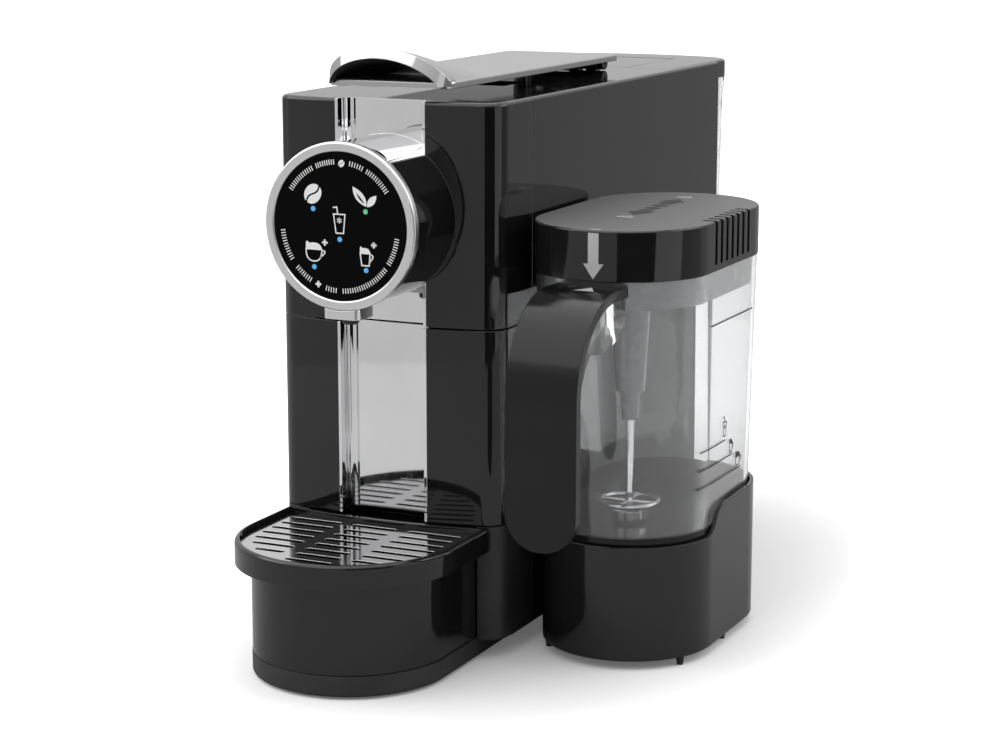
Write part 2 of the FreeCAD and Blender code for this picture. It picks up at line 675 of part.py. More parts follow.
def coffee_outlet():
    """Funnel under the cage's drip nose and the tube from it to the spout."""
    cup = block(-9, 9, CAGE_FRONT - 9, CAGE_FRONT + 1, DECK_TOP, DECK_TOP + 13)
    hollow = block(-7, 7, CAGE_FRONT - 7, CAGE_FRONT - 1, DECK_TOP + 2, DECK_TOP + 14)
    level = DECK_TOP + 6
    end = CAGE_FRONT - 9
    route = [vec(0, end, level), vec(0, NOZZLE_Y, level), vec(0, NOZZLE_Y, 182)]
    bend = 9.0
    corner = vec(0, NOZZLE_Y, level)
    middle = corner + vec(0, bend, -bend) * (1 - sqrt(0.5))
    arc_start, arc_end = corner + vec(0, bend, 0), corner + vec(0, 0, -bend)
    path = Part.Wire([line(route[0], arc_start), arc(arc_start, middle, arc_end), line(arc_end, route[2])])
    outside, inside = [
        path.makePipeShell([Part.Wire(Part.makeCircle(radius, route[0], vec(0, -1, 0)))], True, False)
        for radius in (HOSE_RADIUS, COFFEE_BORE)
    ]
    entry = rod_y(COFFEE_BORE, end - 1, CAGE_FRONT - 6, 0, level)
    return without(joined(without(cup, hollow), outside), inside, entry)


# Chassis, water and electrics

def chassis():
    """Deck under the brew unit on two walls, which stand on the tub's floor beside the pump."""
    floor = BODY_BOTTOM + TUB_FLOOR
    deck = block(-CHASSIS_HALF, CHASSIS_HALF, 50, REAR_PANEL, DECK_BOTTOM, DECK_TOP)
    drop = block(-24, 24, CAGE_FRONT + 2, HEAD_BACK - 10, 0, DECK_TOP + 1)
    wall = block(CHASSIS_HALF - CHASSIS_WALL, CHASSIS_HALF, CHASSIS_FRONT, REAR_PANEL, floor, DECK_TOP)
    hot_hole = rod_z(5, DECK_BOTTOM - 1, DECK_TOP + 1, -26, 164)
    return without(joined(deck, wall, mirrored(wall)), drop, hot_hole)


def rear_panel():
    floor = BODY_BOTTOM + TUB_FLOOR
    panel = block(-INSIDE, INSIDE, REAR_PANEL, REAR_PANEL + REAR_SKIN, floor, TANK_RIM - 1)
    return without(panel, rod_y(4.5, REAR_PANEL - 1, REAR_PANEL + 3, 0, 20))


def pump():
    """Vibration pump: coil frame round a tube, with an inlet nose behind and an outlet nose in front."""
    x, z = 28.0, 70.0
    frame = block(x - 17, x + 17, 192, 228, z - 19, z + 19)
    barrel = rod_y(13, 184, 236, x, z)
    outlet = rod_y(5, 174, 184, x, z)
    inlet = rod_y(5, 236, 248, x, z)
    return joined(frame.makeFillet(2, edges_where(frame, is_vertical)), barrel, outlet, inlet)


def pump_mounts():
    floor = BODY_BOTTOM + TUB_FLOOR
    posts = []
    for y in (198.0, 222.0):
        posts.append(block(15, 41, y - 5, y + 5, floor, 51))
    return group(posts)


def heater_block():
    """Cast heater hung from the deck, with its element's two ends and its water stubs."""
    body = block(-46, -6, 182, 250, 108, DECK_BOTTOM)
    body = body.makeFillet(8, edges_where(body, is_vertical))
    ends = [rod_z(3, 96, 109, x, 240) for x in (-40, -12)]
    inlet = rod_y(4, 174, 183, -14, 124)
    outlet = rod_y(4, 174, 183, -26, 170)
    return joined(body, inlet, outlet, *ends)


def flow_meter():
    floor = BODY_BOTTOM + TUB_FLOOR
    body = rod_z(14, floor, floor + 14, -22, 236)
    inlet = rod_x(3.5, -9, -4.5, 236, 20)
    outlet = rod_z(3.5, floor + 14, floor + 20, -22, 236)
    return joined(body, inlet, outlet)


def main_board():
    wall = -CHASSIS_HALF + CHASSIS_WALL
    board = block(wall + 3, wall + 4.6, 176, 256, 24, 96)
    stands = [rod_x(3, wall, wall + 3, y, z) for y in (182, 250) for z in (30, 90)]
    parts = [block(wall + 4.6, wall + 16, 184, 206, 66, 90), block(wall + 4.6, wall + 14, 214, 230, 70, 90)]
    return joined(board, *stands, *parts)


def suction_hose():
    """From the flow meter up and across to the pump's inlet."""
    route = [vec(-22, 236, 33), vec(-22, 236, 52), vec(-8, 252, 66), vec(20, 257, 70), vec(28, 256, 70),
             vec(28, 248, 70)]
    return hose(route, HOSE_RADIUS)


def pressure_hose():
    """From the pump's outlet to the heater's inlet."""
    route = [vec(28, 174, 70), vec(28, 165, 70), vec(18, 164, 88), vec(-6, 164, 112), vec(-14, 165, 124),
             vec(-14, 174, 124)]
    return hose(route, HOSE_RADIUS)


def hot_water_hose():
    """From the heater's outlet up through the deck and back to the injection head."""
    route = [vec(-26, 174, 170), vec(-26, 164, 170), vec(-26, 164, 214), vec(-16, 178, 227),
             vec(0, 180, BREW_Z), vec(0, HEAD_BACK + 10, BREW_Z)]
    return hose(route, HOSE_RADIUS)


def tank_socket():
    """Cup in the shelf that takes the tank's valve, with its pipe to the flow meter."""
    cup = rod_z(11, BODY_BOTTOM + TUB_FLOOR, SHELF, 0, 290)
    well = rod_z(7.5, SHELF - 4, SHELF + 1, 0, 290)
    pipe = rod_y(4, 236, 285, 0, 20)
    elbow = block(-4.5, 4.5, 231, 241, 15.5, 24.5)
    bore = rod_y(2, 234, 286, 0, 20)
    return without(joined(cup, pipe, elbow), well, bore)


def cord_gland():
    ring = rod_y(7, 330, 342, -30, 19)
    return without(ring, rod_y(3.6, 329, 343, -30, 19))


# Water tank

def tank_shell():
    """Clear tank that tapers to its foot, with a plain rim under the lid."""
    neck = TANK_RIM - 5.5
    outer = loft(tank_edges(TANK_TAPER, TANK_FRONT + 1, SHELF), tank_edges(1.0, TANK_FRONT, neck))
    inside = TANK_TAPER + TANK_WALL
    front = TANK_FRONT + TANK_WALL
    inner = loft(tank_edges(inside, front + 1, SHELF + 3), tank_edges(1.0 + TANK_WALL, front, neck + 0.01))
    rim = tank_block(0.3, TANK_FRONT, neck, TANK_RIM)
    mouth = tank_block(1.0 + TANK_WALL, front, neck - 0.01, TANK_RIM + 1)
    return without(joined(outer, rim), inner, mouth, rod_z(7, SHELF - 1, SHELF + 4, 0, 290))


def tank_valve():
    body = rod_z(7, SHELF, SHELF + 3, 0, 290)
    flange = rod_z(9, SHELF + 3, SHELF + 5, 0, 290)
    return without(joined(body, flange), rod_z(2.5, SHELF - 1, SHELF + 4, 0, 290))


def tank_lid():
    """Black lid level with the body's top, with an opening for the fill flap."""
    cover = tank_block(0, LID_FRONT, TANK_RIM, BODY_TOP)
    soft = edges_where(cover, lambda e: lies_at(e, BODY_TOP) and e.BoundBox.YMax > 300)
    cover = cover.makeFillet(2, soft)
    hollow = tank_block(WALL, TANK_FRONT + 3, TANK_RIM - 1, BODY_TOP - TOP_SKIN)
    opening = block(-FLAP_HALF, FLAP_HALF, FLAP_FRONT + 8, FLAP_BACK, TANK_RIM - 1, BODY_TOP + 1)
    pocket = block(-FLAP_HALF, FLAP_HALF, FLAP_FRONT, FLAP_BACK, BODY_TOP - 4.6, BODY_TOP + 1)
    overhang = block(-BODY_HALF, BODY_HALF, LID_FRONT - 1, TANK_FRONT, TANK_RIM - 1, BODY_TOP - 5.5)
    lid = without(cover, hollow, opening, pocket, overhang)
    return without(lid, rod_x(1.3, -FLAP_HALF - 3, FLAP_HALF + 3, FLAP_AXIS_Y, FLAP_AXIS_Z))


def tank_flap():
    """Fill flap with a barrel at its back, whose two stub pins turn in the lid."""
    half = FLAP_HALF - 0.4
    plate = block(-half, half, FLAP_FRONT + 0.4, FLAP_AXIS_Y, BODY_TOP - FLAP_THICK, BODY_TOP)
    barrel = rod_x(2, -half, half, FLAP_AXIS_Y, FLAP_AXIS_Z)
    pins = rod_x(1.25, -FLAP_HALF - 2.5, FLAP_HALF + 2.5, FLAP_AXIS_Y, FLAP_AXIS_Z)
    return joined(plate, barrel, pins)


# Drip tray and capsule bin

def drip_tray():
    """Round pedestal with a wider rim in front of the body, and a riser behind the bin's front."""
    pedestal = round_front(TRAY_HALF, TRAY_ARC, TRAY_BACK, TRAY_BOTTOM, RIM_BOTTOM)
    rim = round_front(RIM_HALF, RIM_ARC, 30, RIM_BOTTOM, RIM_TOP)
    body = bowed_block(-TRAY_GAP, SIDE_BACK, 0, BODY_TOP)
    rim = without(rim, body)
    soft = edges_where(rim, lambda e: e.BoundBox.ZMin > RIM_TOP - 0.01 and e.BoundBox.YMin < -5)
    rim = rim.makeFillet(2, soft)
    riser = block(-TRAY_HALF, TRAY_HALF, BIN_FRONT, TRAY_BACK, TRAY_BOTTOM, BIN_BOTTOM)
    solid = joined(pedestal, rim, riser)
    seat = GRILLE_TOP - GRILLE_THICK
    grille_gap = round_front(RIM_HALF - TRAY_WALL, RIM_ARC, 30, seat, RIM_TOP + 1)
    grille_gap = without(grille_gap, bowed_block(-TRAY_GAP - TRAY_WALL, SIDE_BACK, 0, BODY_TOP))
    inner = TRAY_HALF - TRAY_WALL
    floor, back = TRAY_BOTTOM + TRAY_WALL, TRAY_BACK - TRAY_WALL
    well = round_front(inner, TRAY_ARC, -TRAY_GAP - 4, floor, seat + 0.1)
    behind = block(-inner, inner, -TRAY_GAP - 4.1, back, floor, RIM_BOTTOM - 2)
    top = block(-inner, inner, BIN_FRONT + TRAY_WALL, back, RIM_BOTTOM - 3, BIN_BOTTOM + 1)
    return without(solid, grille_gap, well, behind, top)


def grille_slot(x0, x1, y):
    """One slot with round ends."""
    z0, z1 = GRILLE_TOP - GRILLE_THICK - 1, GRILLE_TOP + 1
    half = SLOT_WIDTH / 2
    middle = block(x0 + half, x1 - half, y - half, y + half, z0, z1)
    return joined(middle, rod_z(half, z0, z1, x0 + half, y), rod_z(half, z0, z1, x1 - half, y))


def drip_grille():
    """Steel plate with three columns of slots that follow its round front."""
    half = RIM_HALF - TRAY_WALL - 0.4
    seat = GRILLE_TOP - GRILLE_THICK
    plate = round_front(half, RIM_ARC, 30, seat, GRILLE_TOP)
    plate = without(plate, bowed_block(-TRAY_GAP - TRAY_WALL - 0.4, SIDE_BACK, 0, BODY_TOP))
    border, bridge, middle = 6.0, 18.0, 12.0
    slots = []
    for row in range(SLOT_ROWS):
        y = FIRST_SLOT + row * SLOT_PITCH
        ahead = min(0.0, y - RIM_ARC)
        end = sqrt((half - border) ** 2 - ahead ** 2)
        slots.append(grille_slot(-min(end, middle), min(end, middle), y))
        if end > bridge + SLOT_WIDTH:
            slots.append(grille_slot(bridge, end, y))
            slots.append(grille_slot(-end, -bridge, y))
    return without(plate, *slots)


def bin_front():
    top = FRONT_SEAM - SEAM
    wall = casing_walls().common(block(-61, 61, -1, SIDE_SEAM - 0.1, PANEL_BOTTOM, top))
    return joined(without(wall, channel_gap(0, BODY_TOP)), trough(PANEL_BOTTOM, top))


def channel_lower():
    return channel(PANEL_BOTTOM, FRONT_SEAM - SEAM)


def capsule_bin():
    outer = block(-BIN_HALF, BIN_HALF, BIN_FRONT, BIN_BACK, BIN_BOTTOM, BIN_TOP)
    outer = outer.makeFillet(8, edges_where(outer, lambda e: is_vertical(e) and e.Vertexes[0].Y > 100))
    inner = block(-BIN_HALF + BIN_WALL, BIN_HALF - BIN_WALL, BIN_FRONT + BIN_WALL, BIN_BACK - BIN_WALL,
                  BIN_BOTTOM + BIN_WALL, BIN_TOP + 1)
    inner = inner.makeFillet(6, edges_where(inner, lambda e: is_vertical(e) and e.Vertexes[0].Y > 100))
    return without(outer, inner)


# Dock and frother drive

def dock_rim_cutter():
    """Everything above the dock's edge: low at the front, up a soft step, high at the back."""
    rise = DOCK_RIM - DOCK_DECK
    run = STEP_END - STEP_START
    bend = (run ** 2 + rise ** 2) / (4 * rise)
    half_turn = (run / 2) / bend / 2
    low_bulge = vec(0, STEP_START + bend * sin(half_turn), DOCK_DECK + bend * (1 - cos(half_turn)))
    high_bulge = vec(0, STEP_END - bend * sin(half_turn), DOCK_RIM - bend * (1 - cos(half_turn)))
    front, back, top = 0.0, 170.0, 100.0
    points = [
        vec(0, front, DOCK_DECK), vec(0, STEP_START, DOCK_DECK),
        vec(0, (STEP_START + STEP_END) / 2, (DOCK_DECK + DOCK_RIM) / 2), vec(0, STEP_END, DOCK_RIM),
        vec(0, back, DOCK_RIM_BACK), vec(0, back, top), vec(0, front, top),
    ]
    edges = [
        line(points[0], points[1]),
        arc(points[1], low_bulge, points[2]),
        arc(points[2], high_bulge, points[3]),
        line(points[3], points[4]), line(points[4], points[5]), line(points[5], points[6]),
        line(points[6], points[0]),
    ]
    return prism(edges, vec(200, 0, 0))


def dock_shell():
    outer = stadium(DOCK_X, DOCK_FRONT_ARC, DOCK_BACK_ARC, DOCK_RADIUS, DOCK_BOTTOM, DOCK_RIM_BACK + 2)
    outer = outer.makeFillet(1.5, edges_where(outer, lambda e: lies_at(e, DOCK_BOTTOM)))
    outer = without(outer, dock_rim_cutter())
    well = stadium(DOCK_X, DOCK_FRONT_ARC, DOCK_BACK_ARC, WELL_RADIUS, DOCK_DECK, 100)
    inside = stadium(DOCK_X, DOCK_FRONT_ARC, DOCK_BACK_ARC, DOCK_RADIUS - WALL,
                     DOCK_BOTTOM - 1, DOCK_DECK - 3)
    window = rod_z(27, DOCK_DECK - 4, 80, DOCK_X, DOCK_FRONT_ARC)
    seat = rod_z(30, DOCK_DECK - 2, 80, DOCK_X, DOCK_FRONT_ARC)
    bridge = block(BODY_HALF, DOCK_X - DOCK_RADIUS + 1, 66, 106, 14, 54)
    return joined(without(outer, well, inside, window, seat), bridge)


def dock_base():
    return stadium(DOCK_X, DOCK_FRONT_ARC, DOCK_BACK_ARC, DOCK_RADIUS - WALL - 0.1,
                   DOCK_BOTTOM, DOCK_BOTTOM + 3)


def dock_feet():
    places = [(DOCK_X + side * x, y) for side in (-1, 1) for x, y in ((34.5, 40.0), (38.5, 88.0))]
    return group([Part.makeCone(1.5, 2.0, DOCK_BOTTOM, vec(x, y, 0)) for x, y in places + [(DOCK_X, 148.0)]])


def heater_plate():
    disc = rod_z(29.8, DOCK_DECK - 2, DOCK_DECK, DOCK_X, DOCK_FRONT_ARC)
    ring = rod_z(26.5, DOCK_DECK - 5, DOCK_DECK - 2, DOCK_X, DOCK_FRONT_ARC)
    return without(joined(disc, ring), rod_z(23, DOCK_DECK - 6, DOCK_DECK - 2, DOCK_X, DOCK_FRONT_ARC))


def frother_motor():
    body = rod_z(18, DOCK_BOTTOM + 3, 38, DOCK_X, WHISK_Y)
    collar = rod_z(6, 38, 42, DOCK_X, WHISK_Y)
    return without(joined(body, collar), rod_z(2.05, 20, 43, DOCK_X, WHISK_Y))


def drive_rotor():
    """Magnet disc on the motor's shaft, under the heater plate."""
    disc = rod_z(20, 45, 52, DOCK_X, WHISK_Y)
    shaft = rod_z(2, 22, 46, DOCK_X, WHISK_Y)
    pockets = []
    for turn in range(0, 360, 90):
        x, y = DOCK_X + 13 * cos(radians(turn)), WHISK_Y + 13 * sin(radians(turn))
        pockets.append(rod_z(4, 49, 53, x, y))
    return without(joined(disc, shaft), *pockets)


# Jug and jug lid

def jug_level(z):
    """How far up the jug's taper a level is, from 0 at its floor to 1 at its rim."""
    return (z - JUG_FLOOR) / (JUG_TOP - JUG_FLOOR)


def jug_section(z, inset):
    share = jug_level(z)
    radius = JUG_BOTTOM_RADIUS + (JUG_TOP_RADIUS - JUG_BOTTOM_RADIUS) * share - inset
    front = DOCK_FRONT_ARC + (JUG_TOP_ARC - DOCK_FRONT_ARC) * share
    back = JUG_BACK_ARC + share
    return stadium_edges(DOCK_X, front, back, radius, z)


def jug_body(inset, z0, z1):
    return loft(jug_section(z0, inset), jug_section(z1, inset))


def jug_shell():
    return without(jug_body(0, JUG_FLOOR, JUG_TOP), jug_body(JUG_WALL, JUG_FLOOR - 1, JUG_TOP + 1))


def jug_base():
    base = stadium(DOCK_X, DOCK_FRONT_ARC, JUG_BACK_ARC, JUG_BOTTOM_RADIUS + 0.1, DOCK_DECK, JUG_FLOOR)
    return base.makeFillet(0.8, edges_where(base, lambda e: lies_at(e, DOCK_DECK)))


def handle_curve(depth, reach, end):
    """Edges of the handle's side view at a depth under its outer face, from the jug to the free end."""
    bend_y, bend_z = HANDLE_FRONT + HANDLE_BEND, HANDLE_TOP - HANDLE_BEND
    radius = HANDLE_BEND - depth
    start = vec(0, reach, HANDLE_TOP - depth)
    top = vec(0, bend_y, HANDLE_TOP - depth)
    bulge = vec(0, bend_y - radius * sqrt(0.5), bend_z + radius * sqrt(0.5))
    front = vec(0, HANDLE_FRONT + depth, bend_z)
    return [line(start, top), arc(top, bulge, front), line(front, vec(0, HANDLE_FRONT + depth, end))]


def handle_solid(edges, half):
    solid = prism(edges, vec(2 * half, 0, 0)).translated(vec(DOCK_X - half, 0, 0))
    return without(solid, jug_body(0, JUG_FLOOR, JUG_TOP))


def handle_shell():
    """Black strap: out from the jug's top, round the bend and down to a round free end."""
    outer = handle_curve(0, 15, HANDLE_END)
    inner = handle_curve(HANDLE_SKIN, 15, HANDLE_END)
    closing = [
        line(outer[-1].Vertexes[-1].Point, inner[-1].Vertexes[-1].Point),
        line(inner[0].Vertexes[0].Point, outer[0].Vertexes[0].Point),
    ]
    solid = handle_solid(Part.__sortEdges__(outer + inner + closing), HANDLE_HALF)
    ends = edges_where(solid, lambda e: lies_at(e, HANDLE_END) and e.Length < HANDLE_SKIN + 0.1)
    return solid.makeFillet(HANDLE_HALF - 0.5, ends)


def handle_core():
    """Clear strip behind the strap, swelling to a crescent in the bend."""
    end = HANDLE_END + HANDLE_HALF
    outer = handle_curve(HANDLE_SKIN, 15, end)
    strip = HANDLE_FRONT + HANDLE_SKIN + CORE_SKIN
    foot, shoulder = vec(0, strip, end), vec(0, strip, 146)
    waist, root = vec(0, -31, 163), vec(0, 15, 172)
    inner = [
        line(outer[-1].Vertexes[-1].Point, foot), line(foot, shoulder),
        arc(shoulder, vec(0, -37.5, 155.5), waist), arc(waist, vec(0, -10, 161.9), root),
        line(root, outer[0].Vertexes[0].Point),
    ]
    return handle_solid(Part.__sortEdges__(outer + inner), HANDLE_HALF - 1.5)


def jug_lid():
    """Black cover with a soft top edge, vent slots in its right side and posts for the plug."""
    cover = stadium(DOCK_X, LID_ARC, DOCK_BACK_ARC, LID_RADIUS, JUG_TOP, LID_TOP)
    cover = cover.makeFillet(LID_EDGE, edges_where(cover, lambda e: lies_at(e, LID_TOP)))
    hollow = stadium(DOCK_X, LID_ARC, DOCK_BACK_ARC, LID_RADIUS - WALL, JUG_TOP - 1, LID_TOP - TOP_SKIN)
    right = DOCK_X + LID_RADIUS
    half_vent = VENT_WIDTH / 2
    vents = []
    for number in range(VENTS):
        y = VENT_FIRST + number * VENT_PITCH
        vents.append(block(right - 7, right + 1, y - half_vent, y + half_vent, JUG_TOP + 3, LID_TOP + 1))
    posts = []
    for side in (-1, 1):
        for y in (56, 104):
            posts.append(rod_z(3, JUG_TOP + 2.5, LID_TOP - 2, DOCK_X + side * 26, y))
    return joined(without(cover, hollow, *vents), *posts)


def lid_plug():
    """Inner cover with the skirt that fits into the jug's mouth."""
    radius = LID_RADIUS - WALL - 0.1
    plate = stadium(DOCK_X, LID_ARC, DOCK_BACK_ARC, radius, JUG_TOP, JUG_TOP + 2.5)
    skirt_radius, front, back = 39.4, 50.0, 111.0
    skirt = stadium(DOCK_X, front, back, skirt_radius, 176, JUG_TOP + 0.1)
    hollow = stadium(DOCK_X, front, back, skirt_radius - 2, 175, JUG_TOP)
    return joined(plate, without(skirt, hollow))


def lid_stem():
    """Tapered stem and nozzle under the plug, bored for the whisk's shaft."""
    cone = Part.makeCone(7.0, 10.5, JUG_TOP - STEM_END, vec(DOCK_X, WHISK_Y, STEM_END), vec(0, 0, 1))
    nozzle = Part.makeCone(4.1, 4.9, STEM_END - STEM_TIP + 1, vec(DOCK_X, WHISK_Y, STEM_TIP), vec(0, 0, 1))
    bore = rod_z(SHAFT_RADIUS + 0.06, STEM_TIP - 1, 181, DOCK_X, WHISK_Y)
    return without(joined(cone, nozzle), bore)


def whisk():
    """Steel shaft with a magnet foot and a ring whisk on four spokes."""
    shaft = rod_z(SHAFT_RADIUS, 70, 180, DOCK_X, WHISK_Y)
    foot = rod_z(9, 66, 70, DOCK_X, WHISK_Y)
    ring = Part.makeTorus(14, 1.4, vec(DOCK_X, WHISK_Y, 74), vec(0, 0, 1))
    spoke = rod_x(1.0, DOCK_X - 14, DOCK_X + 14, WHISK_Y, 74)
    cross = rod_y(1.0, WHISK_Y - 14, WHISK_Y + 14, DOCK_X, 74)
    return joined(shaft, foot, ring, spoke, cross)


# Fasteners

def screw(x, y, z, direction, length):
    """Countersunk-looking screw: a low head and a shank, from z against the direction given."""
    head = Part.makeCylinder(3, 1.5, vec(x, y, z), direction)
    shank = Part.makeCylinder(1.5, length, vec(x, y, z) - direction * length, direction)
    return joined(head, shank)


def head_screws():
    """Screws through the brew frame's plates into the injection head."""
    screws = []
    for z in (BREW_Z - 18, BREW_Z + 20):
        for side in (-1, 1):
            screws.append(screw(side * FRAME_OUTER, 140, z, vec(side, 0, 0), 12))
    return screws


def with_screw_holes(shape):
    holes = []
    for z in (BREW_Z - 18, BREW_Z + 20):
        holes.append(rod_x(1.5, -FRAME_OUTER, -FRAME_OUTER + 12, 140, z))
        holes.append(rod_x(1.5, FRAME_OUTER - 12, FRAME_OUTER, 140, z))
    return without(shape, *holes)


def head_screw_set():
    return group(head_screws())


PARTS = {
    "base_plate": base_plate, "rubber_feet": rubber_feet, "base_tub": base_tub,
    "side_panel_left": lambda: mirrored(side_panel()), "side_panel_right": side_panel,
    "front_housing": front_housing, "channel_upper": channel_upper, "bezel_ring": bezel_ring,
    "touch_panel": touch_panel, "indicator_lenses": indicator_lenses, "control_board": control_board,
    "spout_block": spout_block, "spout_nozzle": spout_nozzle, "top_cover": top_cover,
    "capsule_chute": capsule_chute, "lever_plate": lever_plate, "lever_handle": lever_handle,
    "lever_crank": lever_crank, "lever_pin": lever_pin,
    "brew_frame": lambda: with_screw_holes(brew_frame()),
    "injection_head": lambda: with_screw_holes(injection_head()),
    "head_screws": head_screw_set, "brew_gasket": brew_gasket, "brew_carriage": brew_carriage,
    "coffee_outlet": coffee_outlet, "chassis": chassis, "rear_panel": rear_panel, "pump": pump,
    "pump_mounts": pump_mounts, "heater_block": heater_block, "flow_meter": flow_meter,
    "main_board": main_board, "suction_hose": suction_hose, "pressure_hose": pressure_hose,
    "hot_water_hose": hot_water_hose, "tank_socket": tank_socket, "cord_gland": cord_gland,
    "tank_shell": tank_shell, "tank_valve": tank_valve, "tank_lid": tank_lid, "tank_flap": tank_flap,
    "drip_tray": drip_tray, "drip_grille": drip_grille, "bin_front": bin_front,
    "channel_lower": channel_lower, "capsule_bin": capsule_bin, "dock_shell": dock_shell,
    "dock_base": dock_base, "dock_feet": dock_feet, "heater_plate": heater_plate,
    "frother_motor": frother_motor, "drive_rotor": drive_rotor, "jug_shell": jug_shell,
    "jug_base": jug_base, "handle_shell": handle_shell, "handle_core": handle_core, "jug_lid": jug_lid,
    "lid_plug": lid_plug, "lid_stem": lid_stem, "whisk": whisk,
}

os.makedirs("parts", exist_ok=True)
for name, make in PARTS.items():
    shape = make().translated(vec(-ORIGIN[0], -ORIGIN[1], -ORIGIN[2]))
    shape.exportStep("parts/" + name + ".step")
    print(name, len(shape.Solids), "solid(s)", round(shape.Volume / 1000, 2), "cm3", shape.isValid())
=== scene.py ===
from math import cos, pi, radians, sin, sqrt

import bpy
import bmesh
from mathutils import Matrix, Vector

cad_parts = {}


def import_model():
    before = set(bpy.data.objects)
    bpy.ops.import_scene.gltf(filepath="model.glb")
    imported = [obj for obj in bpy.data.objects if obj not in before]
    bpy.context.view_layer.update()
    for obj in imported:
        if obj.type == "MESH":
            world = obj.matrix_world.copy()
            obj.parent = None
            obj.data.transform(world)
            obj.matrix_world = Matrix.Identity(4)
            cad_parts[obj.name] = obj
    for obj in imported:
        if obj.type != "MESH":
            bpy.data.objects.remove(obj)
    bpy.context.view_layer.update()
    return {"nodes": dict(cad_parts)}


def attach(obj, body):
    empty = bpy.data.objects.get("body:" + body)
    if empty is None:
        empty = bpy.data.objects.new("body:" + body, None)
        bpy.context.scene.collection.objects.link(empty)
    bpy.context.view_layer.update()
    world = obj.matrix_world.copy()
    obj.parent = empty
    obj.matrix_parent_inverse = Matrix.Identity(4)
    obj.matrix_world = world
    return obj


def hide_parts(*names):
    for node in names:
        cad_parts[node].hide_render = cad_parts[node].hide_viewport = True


# Looks of a pod coffee machine with a docked milk jug.
# Sizes are in millimetres from the middle of the machine's front at table height, as in the part's source.
# point() turns them into metres in the frame's own axes.

FRAME_SHIFT = (44.5, 129.0, 0.0)

# Camera
CAMERA_PLACE = (539.9, -1029.5, 372.5)
CAMERA_TURN = 24.85
CAMERA_TILT = 78.58
CAMERA_LENS = 88.52

# Shading. The depth of relief and the welding distance are in metres. Noise seldom leaves its two bounds.
NOISE_LOW = 0.3
NOISE_HIGH = 0.7
RELIEF_DEPTH = 0.0001
WELD_DISTANCE = 0.000002
EDGE_ANGLE = 32
SLACK = 0.1

# Printed marks
PRINT_PROUD = 0.12
STROKE_LIFT = 0.04
STROKE = 0.46
LONGEST_EDGE = 2.5
BEND_STEPS = 10
ELLIPSE_STEPS = 40

# Control panel. Each span of ticks has two angles, anticlockwise from the right.
PANEL_Z = 215.0
PANEL_FACE = -39.8
GREEN_LENS_FROM = 5.0
TICK_RING = 30.0
TICK_LENGTH = 2.4
TICK_PITCH = 2.4
TICK_SPANS = [
    (35, 61), (66, 79), (95, 113), (118, 147), (186, 213), (222, 239), (256, 266), (273, 322), (328, 352),
]
LEAVES_PLACE = (13.2, 229.6)

# Lever
# The hood's downward faces above this height get painted shade.
HOOD_INSIDE = 277.0
LEVER_BOTTOM = 275.5

# Jug. Its wall has two round ends, whose middles lie at the arcs' Y. A fill line has its first and last Y
# and its height.
JUG_X = 106.0
JUG_FLOOR = 64.0
JUG_TOP = 190.0
JUG_BOTTOM_RADIUS = 40.2
JUG_TOP_RADIUS = 42.5
JUG_BOTTOM_ARC = 60.0
JUG_TOP_ARC = 48.5
JUG_BACK_ARC = 111.0
JUG_WALL = 2.0
JUG_STEPS = 48
JUG_ROWS = 12
FILL_LINES = [(55, 114, 163.7), (48, 81, 103.3), (47, 92, 94.1), (47, 105, 85.2)]
FILL_STROKE = 0.75
DRINK_SCALE = 0.8
HANDLE_TOP = 188.0
HANDLE_MARK = [(104.4, -9.6), (114.4, -9.6), (109.4, 0.6)]

# Jug lid. The arrow on its front has half widths and heights. The double arrow on its top has half widths
# and distances from its own middle.
LID_ARC = 48.0
LID_RADIUS = 43.0
LID_TOP = 214.0
LID_EDGE = 1.2
ARROW_X = 108.0
ARROW_SHAFT = 2.6
ARROW_HEAD = 5.0
ARROW_NECK = 198.4
ARROW_TIP = 191.2
ARROW_STUB = 2.5
LID_MARK_X = 104.5
LID_MARK_Y = 94.0
LID_MARK_HEAD = 7.0
LID_MARK_SHAFT = 3.6
LID_MARK_TIP = 32.0
LID_MARK_NECK = 20.0
LID_MARK_END = 11.0
LID_DOT = (4.2, 3.4)
LID_DOT_AWAY = 5.0
LOCK_AWAY = 40.0

# Studio. Cards stand round the object, where only reflections see them: each has two azimuths in degrees
# from the front towards the jug, and a brightness.
CARD_DISTANCE = 850
CARD_HEIGHT = 420
CARD_STEPS = 12
CARDS = {
    "card_front": (-75, 16, 0.6), "card_dark": (16, 58, 0.0), "card_light": (58, 92, 1.0),
    "card_dim": (92, 126, 0.27), "card_mid": (126, 185, 0.36),
}
SKY_SEEN = 1.0
HORIZON_REFLECTED = 0.6
ZENITH_REFLECTED = 1.25
SKY_SPREAD = 0.55

# The floor's glow starts and ends at multiples of the footprint's half sides, which are in metres.
FOOTPRINT = (0.105, 0.217)
FLOOR_REACH = 6000
FLOOR_DROP = 0.2
FLOOR_SHADE = 0.5
FLOOR_SEEN = 0.86
FLOOR_GLOW = 0.1
GLOW_FROM = 0.9
GLOW_TO = 2.5

# Each softbox has its place, its width and height, and its power in watts.
LIGHT_AIM = (40, 120, 130)
SOFTBOXES = {
    "overhead": ((-200, -200, 1400), (2500, 2500), 22),
    "left_front": ((-1200, -500, 600), (900, 1300), 7),
    "right_back": ((1300, 700, 700), (1200, 1400), 10),
}

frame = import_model()
nodes = frame["nodes"]


def point(x, y, z):
    return Vector(((x - FRAME_SHIFT[0]) / 1000, (y - FRAME_SHIFT[1]) / 1000, (z - FRAME_SHIFT[2]) / 1000))


# Materials

def new_material(name):
    material = bpy.data.materials.new(name)
    material.use_nodes = True
    tree = material.node_tree
    return material, tree, tree.nodes["Principled BSDF"]


